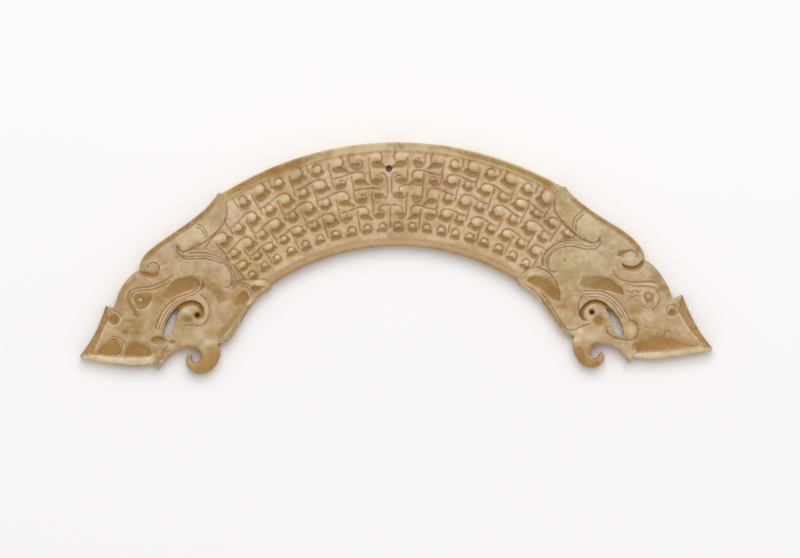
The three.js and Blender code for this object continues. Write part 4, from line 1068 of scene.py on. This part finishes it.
class Relief:
    """Heights in millimetres above the plate's face, never over 0, and the marks for its colours."""

    def __init__(self, points, loops, curls, field_strokes):
        self.points = points
        self.marks = {name: np.zeros(len(points)) for name in MARKS}
        self.off_land = land_distance(points)
        self.height = self.carve_field(curls, field_strokes)
        for head in HEADS:
            HeadCarving(self, head).carve()
        self.round_edges(loops)
        self.brown_walls(loops)
        self.height -= UNDULATION * (1 + self.waves())
        self.height = np.minimum(self.height, 0)

    def waves(self):
        """The faces' slight waves, from -1 to 1."""
        x, y = self.points.T
        swell = np.sin(x / WAVE_ACROSS[0] + WAVE_ACROSS[1]) * np.sin(y / WAVE_DOWN[0] + WAVE_DOWN[1])
        ripple = np.sin(x / RIPPLE[0] + y / RIPPLE[1])
        return (swell + RIPPLE_SHARE * ripple) / (1 + RIPPLE_SHARE)

    def mark(self, name, value, chosen=slice(None)):
        self.marks[name][chosen] = np.maximum(self.marks[name][chosen], value)

    def carve_field(self, curls, strokes):
        """The heights of the sunken field with its curls and grooves, between the two raised rims."""
        angle, radius = turns_and_radii(self.points)
        from_edge = np.minimum(OUTER - radius, radius - INNER)
        off_head = self.off_land > 0
        opened = smooth(self.off_land / LAND_WALL)
        slope = np.clip((from_edge - RIM_CREST) / RIM_SLOPE, 0, 1)
        raised, sunk = self.carve_curls(curls)
        sunk *= opened
        raised *= opened * (sunk < HEAD_ENDS_AT)
        groove, tone = stroke_depths(self.points, strokes)
        for name in ("pit", "boss_highlight"):
            self.marks[name] *= opened
        from_groove = np.abs(self.off_land - LAND_GROOVE_AT) / LAND_GROOVE_HALF
        land_groove = np.clip(1 + LAND_GROOVE_HAZE - from_groove, 0, 1) * (from_edge > LAND_GROOVE_MARGIN)
        # The grooves' tone, along the land's edge too, is painted shade with dirt.
        self.marks["groove"] = np.maximum(tone * opened, land_groove * off_head)
        self.marks["field"] = slope * opened
        self.marks["land"] = 1 - opened
        self.marks["outer"] = smooth((radius - OUTER + OUTER_TINT) / OUTER_TINT_FADE) * off_head
        self.marks["inner"] = smooth((INNER + INNER_TINT - radius) / INNER_TINT_FADE) * off_head
        # Brown lines along the rims: the one at the inner edge is painted shade, the shorter ones are
        # stains.
        for line_radius, half_width, strength, first, last in RIM_STAIN_AND_SHADE_LINES:
            between_ends = smooth((angle - first) / RIM_LINE_END) * smooth((last - angle) / RIM_LINE_END)
            across = smooth(RIM_LINE_REACH - np.abs(radius - line_radius) / half_width)
            self.mark("stain_and_shade", strength * across * between_ends * off_head)
        return -FIELD_DEPTH * slope ** RIM_CURVE * opened + raised - np.maximum(sunk, groove * opened)

    def carve_curls(self, curls):
        """How high the curls' heads stand, and how deep the pits below them are."""
        raised, sunk = np.zeros(len(self.points)), np.zeros(len(self.points))
        sides, columns, rows, aways, outs = cell_places(self.points)
        for side, column, row, kind, stray in curls:
            near = np.flatnonzero((sides == side) & (columns == column) & (rows == row))
            curl = CURLS[kind]
            away, out = aways[near] + CURL_JITTER * stray[0], outs[near] + CURL_JITTER * stray[1]
            across = np.abs(away - curl["head"][0]) / curl["half"][0]
            along = np.abs(out - curl["head"][1]) / curl["half"][1]
            dome = np.clip(1 - across ** curl["power"] - along ** curl["power"], 0, 1)
            raised[near] = curl["height"] * (1 + HEIGHT_JITTER * stray[2]) * dome ** HEAD_CURVE

            top, bottom = (np.interp(away, *curl[name]) for name in ("top", "bottom"))
            down = np.clip((top - out) / np.maximum(top - bottom, PIT_LEAST), 0, 1)
            first, last = curl["top"][0][0], curl["top"][0][-1]
            held = smooth((away - first) / PIT_END) * smooth((last - away) / PIT_END) * (down < 1)
            wall = smooth(down / PIT_WALL) * (1 - down) ** PIT_CURVE
            sunk[near] = PIT_DEPTH * (1 + DEPTH_JITTER * stray[3]) * held * wall
            # The pit's tone: brown stain with painted shade, darkest just under the head and fading
            # downwards.
            fade = smooth((down - PIT_TONE_FADE_FROM) / (1 - PIT_TONE_FADE_FROM))
            tone = held * smooth(down / PIT_TONE_WALL) * (1 - PIT_TONE_FADE * fade)
            self.mark("pit", tone * (1 - TONE_JITTER + TONE_JITTER * stray[2]), near)
            # A painted highlight on the head, strongest on its crown.
            self.mark("boss_highlight", dome ** HEAD_HIGHLIGHT_CURVE, near)
            # Stain and painted shade below and beside the head.
            curl_stain_and_shade = np.exp(-oval(away, out, CURL_STAIN_AND_SHADE_CENTRE, CURL_STAIN_AND_SHADE_HALF))
            self.mark("stain_and_shade", CURL_STAIN_AND_SHADE_STRENGTH * curl_stain_and_shade, near)
        return raised, sunk

    def round_edges(self, loops):
        """Rounds the edges of all loops a little."""
        distance = np.full(len(self.points), FAR)
        for loop in loops:
            closed = closed_up(loop)
            for part in np.array_split(np.arange(len(loop)), max(1, len(closed) // LOOP_PIECE)):
                piece = closed[part[0]:part[-1] + 2]
                near = within(self.points, piece, EDGE_ROUND)
                distance[near] = np.minimum(distance[near], nearest(self.points[near], piece)[0])
        share = np.clip(1 - distance / EDGE_ROUND, 0, 1)
        self.height -= EDGE_ROUND_DEPTH * (1 - np.sqrt(1 - share ** 2))

    def brown_walls(self, loops):
        """Marks the loops' own points, which carry the side walls."""
        first = 0
        for loop, browned in zip(loops, WALLS_BROWNED):
            self.marks["bore"][first:first + len(loop)] = browned
            first += len(loop)


class HeadCarving:
    """The carving of one head, on the part of a relief that is its land."""

    def __init__(self, relief, head):
        self.relief, self.head = relief, head
        self.on_land = np.flatnonzero(inside(relief.points, land_loop(head)))
        self.place = relief.points[self.on_land]
        self.height = relief.height[self.on_land]
        self.outline = [spread(run, HEAD_STEP) for run in head["runs"]]

    def mark(self, name, value, chosen=slice(None)):
        self.relief.mark(name, value, self.on_land[chosen])

    def lower(self, height, chosen=slice(None)):
        """Takes the surface down to a height where it is above it."""
        self.height[chosen] = np.minimum(self.height[chosen], height)

    def carve(self):
        self.round_outline()
        self.cut_snout()
        self.cut_lip()
        for hollow in self.head["hollows"]:
            self.cut_hollow(*hollow)
        for channel in self.head["channels"]:
            self.cut_channel(*channel)
        self.cut_funnel(*self.head["funnel"])
        for dome in self.head["domes"]:
            self.leave_dome(*dome)
        self.cut_notch(self.head["notch"])
        groove, tone = stroke_depths(self.place, self.head["grooves"])
        # The grooves' tone is painted shade with dirt.
        self.mark("groove", tone)
        self.relief.height[self.on_land] = self.height - groove
        self.add_spots()
        self.add_streaks()

    def round_outline(self):
        """The channel along the upper edge, the rounder runs of the outline and the land's shoulder."""
        distance, share, _ = nearest(self.place, self.outline[UPPER_RUN])
        channel = smooth(np.interp(distance, EDGE_CHANNEL, (0, 1, 1, 0)))
        self.height -= EDGE_CHANNEL_DEPTH * channel * smooth((share - EDGE_CHANNEL_FROM) / EDGE_CHANNEL_RISE)
        rounded = [(self.outline[run], width, depth) for run, width, depth in ROUNDED_RUNS]
        rounded.append((spread(self.head["land"][0], HEAD_STEP), SHOULDER_WIDTH, SHOULDER_FALL))
        for line, width, depth in rounded:
            gap = nearest(self.place, line)[0]
            self.height -= depth * np.clip(1 - gap / width, 0, 1) ** 2

    def strip(self, run, ridge_name):
        """The points between a ridge and a run of the outline, each with its share of the way across."""
        edge, ridge = self.outline[run], spread(self.head[ridge_name], HEAD_STEP)
        onward = np.hypot(*(ridge[0] - edge[-1])) < np.hypot(*(ridge[-1] - edge[-1]))
        taken = inside(self.place, np.vstack((edge, ridge if onward else ridge[::-1])))
        close = within(self.place, edge, ON_EDGE)
        taken[close[nearest(self.place[close], edge)[0] < ON_EDGE]] = True
        chosen = np.flatnonzero(taken)
        from_ridge, from_edge = (nearest(self.place[chosen], line)[0] for line in (ridge, edge))
        return chosen, from_ridge / np.maximum(from_ridge + from_edge, TINY)

    def cut_snout(self):
        chosen, share = self.strip(SNOUT_RUN, "snout")
        fall = SNOUT_STEP * smooth(share / SNOUT_STEP_WIDTH) + (1 - SNOUT_STEP) * share
        self.height[chosen] -= SNOUT_DROP * fall
        # Ochre stain with painted shade down the snout's slope, darkest towards the outline.
        tone = smooth(share / SNOUT_SHADE_AND_STAIN_WIDTH) * (SNOUT_SHADE_AND_STAIN + SNOUT_SHADE_AND_STAIN_GAIN * share)
        self.mark("stain_and_shade", tone, chosen)

    def cut_lip(self):
        chosen, share = self.strip(LIP_RUN, "lip")
        arch = np.sin(math.pi * share)
        self.height[chosen] -= LIP_DROP * (1 - arch ** LIP_CURVE)
        # The lip's pale tone with a painted highlight along its crown.
        self.mark("pale", LIP_PALENESS * arch ** LIP_PALE_CURVE, chosen)

    def cut_hollow(self, depth, wall, deep_side, loop):
        edge = spread(loop, HOLLOW_STEP, closed=True)
        chosen = np.flatnonzero(inside(self.place, edge[:-1]))
        if not len(chosen):
            return
        lean, edge_lean = (points @ np.array(deep_side, float) for points in (self.place[chosen], edge))
        deeper = (lean - edge_lean.min()) / (edge_lean.max() - edge_lean.min())
        down = smooth(nearest(self.place[chosen], edge)[0] / wall)
        self.lower(-depth * (SHALLOW_DEPTH + (1 - SHALLOW_DEPTH) * deeper) * down, chosen)
        # Brown stain with painted shade, darker down the wall and towards the deep side.
        leaning = SHALLOW_TONE + (1 - SHALLOW_TONE) * smooth(LEAN_TONE_RATE * deeper)
        self.mark("pit", smooth(WALL_TONE_RATE * down) * leaning * min(1, LEAST_TONE + depth), chosen)

    def cut_channel(self, width, depth, given):
        line = spread(given, HOLLOW_STEP)
        close = within(self.place, line, width)
        gap, along, way = nearest(self.place[close], line)
        inward = (way == -self.head["side"]) * fade_ends(along, CHANNEL_END)
        share = np.clip(1 - gap / width, 0, 1)
        cut = inward * smooth(gap / CHANNEL_WALL)
        self.lower(-depth * cut * smooth(CHANNEL_RATE * share), close)
        # Painted shade with brown stain, darkest just inside the outer wall.
        self.mark("pit", cut * smooth(CHANNEL_TONE_RATE * share), close)
        self.mark("gold", CHANNEL_GOLD * inward * smooth(CHANNEL_GOLD_RATE * share), close)

    def cut_funnel(self, centre, radius):
        share = np.hypot(*(self.place - centre).T) / radius
        self.lower(-FUNNEL_DEPTH * smooth(1 - share))
        # Painted shade with brown stain, darker towards the middle.
        self.mark("pit", smooth(FUNNEL_TONE_RATE * (1 - share)))

    def leave_dome(self, centre, radius, shaded_below):
        """A dome that stays up to the plate's face in what is cut round it."""
        share = np.hypot(*(self.place - centre).T) / radius
        chosen = share < 1
        self.height[chosen] = np.maximum(self.height, -DOME_FALL * share ** DOME_CURVE)[chosen]
        clear = smooth((share[chosen] - DOME_CLEAR_FROM) / (1 - DOME_CLEAR_FROM))
        self.relief.marks["pit"][self.on_land[chosen]] *= clear
        # Painted shade on the dome's lower side, laid into the stain mark.
        if shaded_below:
            low = smooth((self.place[chosen, 1] - centre[1]) / radius)
            self.mark("stain_and_shade", low * (share[chosen] < DOME_TONE_TO), chosen)

    def cut_notch(self, centre):
        """The small drilled notch beside the chin curl."""
        distance = np.hypot(*(self.place - centre).T)
        self.lower(-NOTCH_DEPTH * smooth((NOTCH_RADIUS - distance) / NOTCH_WALL))
        # Painted shade with brown stain in the notch.
        self.mark("pit", smooth((NOTCH_TONE_RADIUS - distance) / NOTCH_WALL))

    def add_spots(self):
        for name, spots in self.head["spots"].items():
            for centre, wide, tall, strength in spots:
                reach = oval(*self.relief.points.T, centre, (wide, tall))
                self.relief.mark(name, strength * np.exp(-SPOT_FALL * reach ** SPOT_CURVE))

    def add_streaks(self):
        for name, strength, width, given in self.head["streaks"]:
            line = spread(given, HEAD_STEP)
            close = within(self.place, line, width)
            gap, along, _ = nearest(self.place[close], line)
            tone = smooth(STREAK_REACH - gap / (width / 2)) * fade_ends(along, STREAK_END)
            self.mark(name, strength * tone, close)


def to_metres(points, millimetres):
    """The drawing's points on the plate's box, at a height in millimetres above the plate's back."""
    width, height = PLATE_HIGH.x - PLATE_LOW.x, PLATE_HIGH.y - PLATE_LOW.y
    x = PLATE_LOW.x + (points[:, 0] - LEFT_PIXEL) / (RIGHT_PIXEL - LEFT_PIXEL) * width
    y = PLATE_HIGH.y - (points[:, 1] - TOP_PIXEL) / (BOTTOM_PIXEL - TOP_PIXEL) * height
    x = np.clip(x, PLATE_LOW.x, PLATE_HIGH.x)
    y = np.clip(y, PLATE_LOW.y, PLATE_HIGH.y)
    return np.column_stack((x, y, millimetres / MILLIMETRES))


def face_mesh(loops, steps, strokes, curls, field_strokes):
    """One face: its points, triangles and relief. The loops' points come first."""
    points = scatter_face(loops, steps, strokes, curls)
    points = points[np.sort(np.unique(points.round(DECIMALS), axis=0, return_index=True)[1])]
    edges, rim_count = [], 0
    for loop in loops:
        count = len(loop)
        edges += [(rim_count + i, rim_count + (i + 1) % count) for i in range(count)]
        rim_count += count
    flat = [Vector((x, -y)) for x, y in points.tolist()]
    found, _, triangles, *_ = delaunay_2d_cdt(flat, edges, [], 0, JOIN_DISTANCE)
    if len(found) != len(flat):
        raise ValueError(f"{len(flat)} points became {len(found)}")
    triangles = np.array(triangles)
    on_rim = (triangles < rim_count).all(1)
    middles = points[triangles[on_rim]].mean(1)
    kept = inside(middles, loops[0])
    for loop in loops[1:]:
        kept &= ~inside(middles, loop)
    triangles = np.vstack((triangles[~on_rim], triangles[on_rim][kept]))
    return points, triangles, Relief(points, loops, curls, field_strokes)


def wall_quads(loops, back_first):
    """The side walls between the front and back copies of each loop."""
    quads, first = [], 0
    for loop in loops:
        index = np.arange(len(loop))
        onward = (index + 1) % len(loop)
        front, back = first, back_first + first
        quads.append(np.column_stack((front + index, back + index, back + onward, front + onward)))
        first += len(loop)
    return np.vstack(quads)


def carved_plate():
    """The whole pendant as one mesh, with a mark on each point for its colours."""
    loops = outline_loops()
    curls = list(standing_curls())
    field_strokes = [(*FIELD_GROOVE, line) for line in field_grooves(curls)]
    strokes = [(width, line) for width, _, line in field_strokes]
    for head in HEADS:
        strokes += [(width, line) for width, _, line in head["grooves"]]
        strokes += [(2 * CHANNEL_WALL, line) for _, _, line in head["channels"]]
        strokes += [(width, line) for _, _, width, line in head["streaks"] if width < THIN_STREAK]
    front, front_faces, front_relief = face_mesh(loops, FRONT_STEPS, strokes, curls, field_strokes)
    back, back_faces, back_relief = face_mesh(loops, BACK_STEPS, strokes, curls, field_strokes)
    thickness = (PLATE_HIGH.z - PLATE_LOW.z) * MILLIMETRES
    vertices = np.vstack((to_metres(front, thickness + front_relief.height),
                          to_metres(back, -back_relief.height)))
    back_faces = back_faces[:, ::-1] + len(front)
    faces = front_faces.tolist() + back_faces.tolist() + wall_quads(loops, len(front)).tolist()
    mesh = bpy.data.meshes.new("carved_pendant")
    mesh.from_pydata(vertices.tolist(), [], faces)
    mesh.update()
    for name in MARKS:
        values = np.concatenate((front_relief.marks[name], back_relief.marks[name]))
        attribute = mesh.attributes.new(name, "FLOAT", "POINT")
        attribute.data.foreach_set("value", np.clip(values, 0, 1).astype(np.float32))
    mesh.shade_smooth()
    mesh.set_sharp_from_angle(angle=math.radians(SHARP_ANGLE))
    return mesh


def colour(red, green, blue):
    """A colour as a picture stores it, 0 to 255, turned into the linear one a shader takes."""
    parts = np.array((red, green, blue)) / HIGHEST
    curved = ((parts + CURVE_OFFSET) / (1 + CURVE_OFFSET)) ** CURVE_POWER
    linear = np.where(parts <= STRAIGHT_TO, parts / STRAIGHT_SLOPE, curved)
    return (*linear.tolist(), 1)


class Nodes:
    """Short names for the nodes of one material."""

    def __init__(self, material):
        material.use_nodes = True
        self.tree = material.node_tree
        self.shader = self.tree.nodes["Principled BSDF"]
        self.place = self.tree.nodes.new("ShaderNodeTexCoord").outputs["Object"]

    def feed(self, socket, value):
        """Links an output to a socket, or sets the socket to a number or a colour."""
        if isinstance(value, bpy.types.NodeSocket):
            self.tree.links.new(value, socket)
        else:
            socket.default_value = value

    def add(self, kind, output, inputs, **settings):
        """A new node with its settings made and its inputs fed. Gives the output that is used."""
        node = self.tree.nodes.new(f"ShaderNode{kind}")
        for name, setting in settings.items():
            setattr(node, name, setting)
        for socket, value in inputs.items():
            self.feed(node.inputs[socket], value)
        return node.outputs[output]

    def attribute(self, name):
        return self.add("Attribute", "Fac", {}, attribute_name=name)

    def noise(self, size, detail, roughness):
        """Noise whose blotches are about size metres across."""
        inputs = {"Vector": self.place, "Scale": 1 / size, "Detail": detail, "Roughness": roughness}
        return self.add("TexNoise", "Fac", inputs)

    def remap(self, value, low, high, to_low=0, to_high=1):
        inputs = {"Value": value, "From Min": low, "From Max": high, "To Min": to_low, "To Max": to_high}
        return self.add("MapRange", "Result", inputs, interpolation_type="SMOOTHSTEP")

    def maths(self, operation, first, second):
        return self.add("Math", "Value", {0: first, 1: second}, operation=operation)

    def blend(self, amount, under, over):
        """The colour under, covered by the colour over by that amount."""
        inputs = {MIX_AMOUNT: amount, MIX_UNDER: under, MIX_OVER: over}
        return self.add("Mix", MIX_RESULT, inputs, data_type="RGBA")

    def bump(self, height, distance, strength, under):
        """A bump, on top of another one if there is one."""
        inputs = {"Height": height, "Distance": distance, "Strength": strength}
        if under:
            inputs["Normal"] = under
        return self.add("Bump", "Normal", inputs)


def jade():
    """Greyish cream nephrite with green and pink clouds, browned by stain and painted shade in its hollows
    and along the edge, with painted highlights on its domes and ridges.
    """
    material = bpy.data.materials.new("jade")
    nodes = Nodes(material)
    noises = {name: nodes.noise(*shape) for name, shape in NOISES.items()}
    marks = {name: nodes.attribute(name) for name in MARKS}
    rough = nodes.remap(nodes.maths("ADD", noises["grain"], marks["pit"]), *POLISH)
    for name, (raggedness, low, high) in RAGGED_MARKS.items():
        added = nodes.maths("MULTIPLY", noises["ragged"], raggedness)
        marks[name] = nodes.remap(nodes.maths("ADD", marks[name], added), low, high)

    def tint(name):
        if name not in TWO_TONES:
            return colour(*COLOURS[name])
        noise, low, high, first, second = TWO_TONES[name]
        return nodes.blend(nodes.remap(noises[noise], low, high), tint(first), tint(second))

    body = tint("body")
    for mark, strength, over in LAYERS:
        amount = strength
        if isinstance(strength, tuple):
            amount = nodes.remap(noises[strength[0]], *strength[1:])
        if mark:
            amount = nodes.maths("MULTIPLY", marks[mark], amount)
        body = nodes.blend(amount, body, tint(over))
    normal = None
    for name, depth, strength in BUMPS:
        normal = nodes.bump(noises[name], depth, strength, normal)

    settings = {"Base Color": body, "Roughness": rough, "Normal": normal, "IOR": STONE_IOR,
                "Specular IOR Level": STONE_SPECULAR}
    for name, value in settings.items():
        nodes.feed(nodes.shader.inputs[name], value)
    return material


def make_pendant():
    """The visual piece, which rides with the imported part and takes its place."""
    pendant = bpy.data.objects.new("carved_pendant", carved_plate())
    bpy.context.collection.objects.link(pendant)
    pendant.data.materials.append(jade())
    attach(pendant, "root")
    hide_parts("jade_pendant")


def make_floor():
    """A plain pale table top that keeps the pendant's shadow."""
    bpy.ops.mesh.primitive_plane_add(size=FLOOR_SIZE, location=(0, 0, PLATE_LOW.z - FLOOR_GAP))
    floor = bpy.context.object
    floor.name = "floor"
    material = bpy.data.materials.new("floor_paper")
    shader = Nodes(material).shader
    shader.inputs["Base Color"].default_value = colour(*FLOOR_COLOUR)
    shader.inputs["Roughness"].default_value = FLOOR_ROUGHNESS
    shader.inputs["Specular IOR Level"].default_value = FLOOR_SPECULAR
    floor.data.materials.append(material)


def make_key_light():
    """A square lamp that faces the middle of the pendant."""
    lamp = bpy.data.lights.new("key", "AREA")
    lamp.size = KEY_SIZE
    lamp.energy = KEY_POWER
    lamp.color = KEY_TINT
    light = bpy.data.objects.new("key", lamp)
    toward = Vector(KEY_DIRECTION).normalized()
    light.location = toward * KEY_DISTANCE
    light.rotation_euler = toward.to_track_quat("Z", "Y").to_euler()
    bpy.context.collection.objects.link(light)


def make_world():
    """Soft light from all round."""
    world = bpy.data.worlds.new("studio")
    bpy.context.scene.world = world
    world.use_nodes = True
    background = world.node_tree.nodes["Background"]
    background.inputs["Color"].default_value = WORLD_COLOUR
    background.inputs["Strength"].default_value = WORLD_STRENGTH


def make_camera():
    """Straight above the plate, framed as the photograph is."""
    lens = bpy.data.cameras.new("camera")
    lens.sensor_width = SENSOR_WIDTH
    frame_width = PHOTO_SIZE[0] / (RIGHT_PIXEL - LEFT_PIXEL) * (PLATE_HIGH.x - PLATE_LOW.x)
    metres_per_pixel = frame_width / PHOTO_SIZE[0]
    x = PLATE_LOW.x + (PHOTO_SIZE[0] / 2 - LEFT_PIXEL) * metres_per_pixel
    y = PLATE_HIGH.y - (PHOTO_SIZE[1] / 2 - TOP_PIXEL) * metres_per_pixel
    lens.lens = SENSOR_WIDTH * (CAMERA_HEIGHT - PLATE_HIGH.z) / frame_width
    camera = bpy.data.objects.new("camera", lens)
    camera.location = (x, y, CAMERA_HEIGHT)
    bpy.context.collection.objects.link(camera)
    bpy.context.scene.camera = camera


make_camera()
make_pendant()
make_floor()
make_world()
make_key_light()
bpy.context.scene.view_settings.view_transform = "Standard"
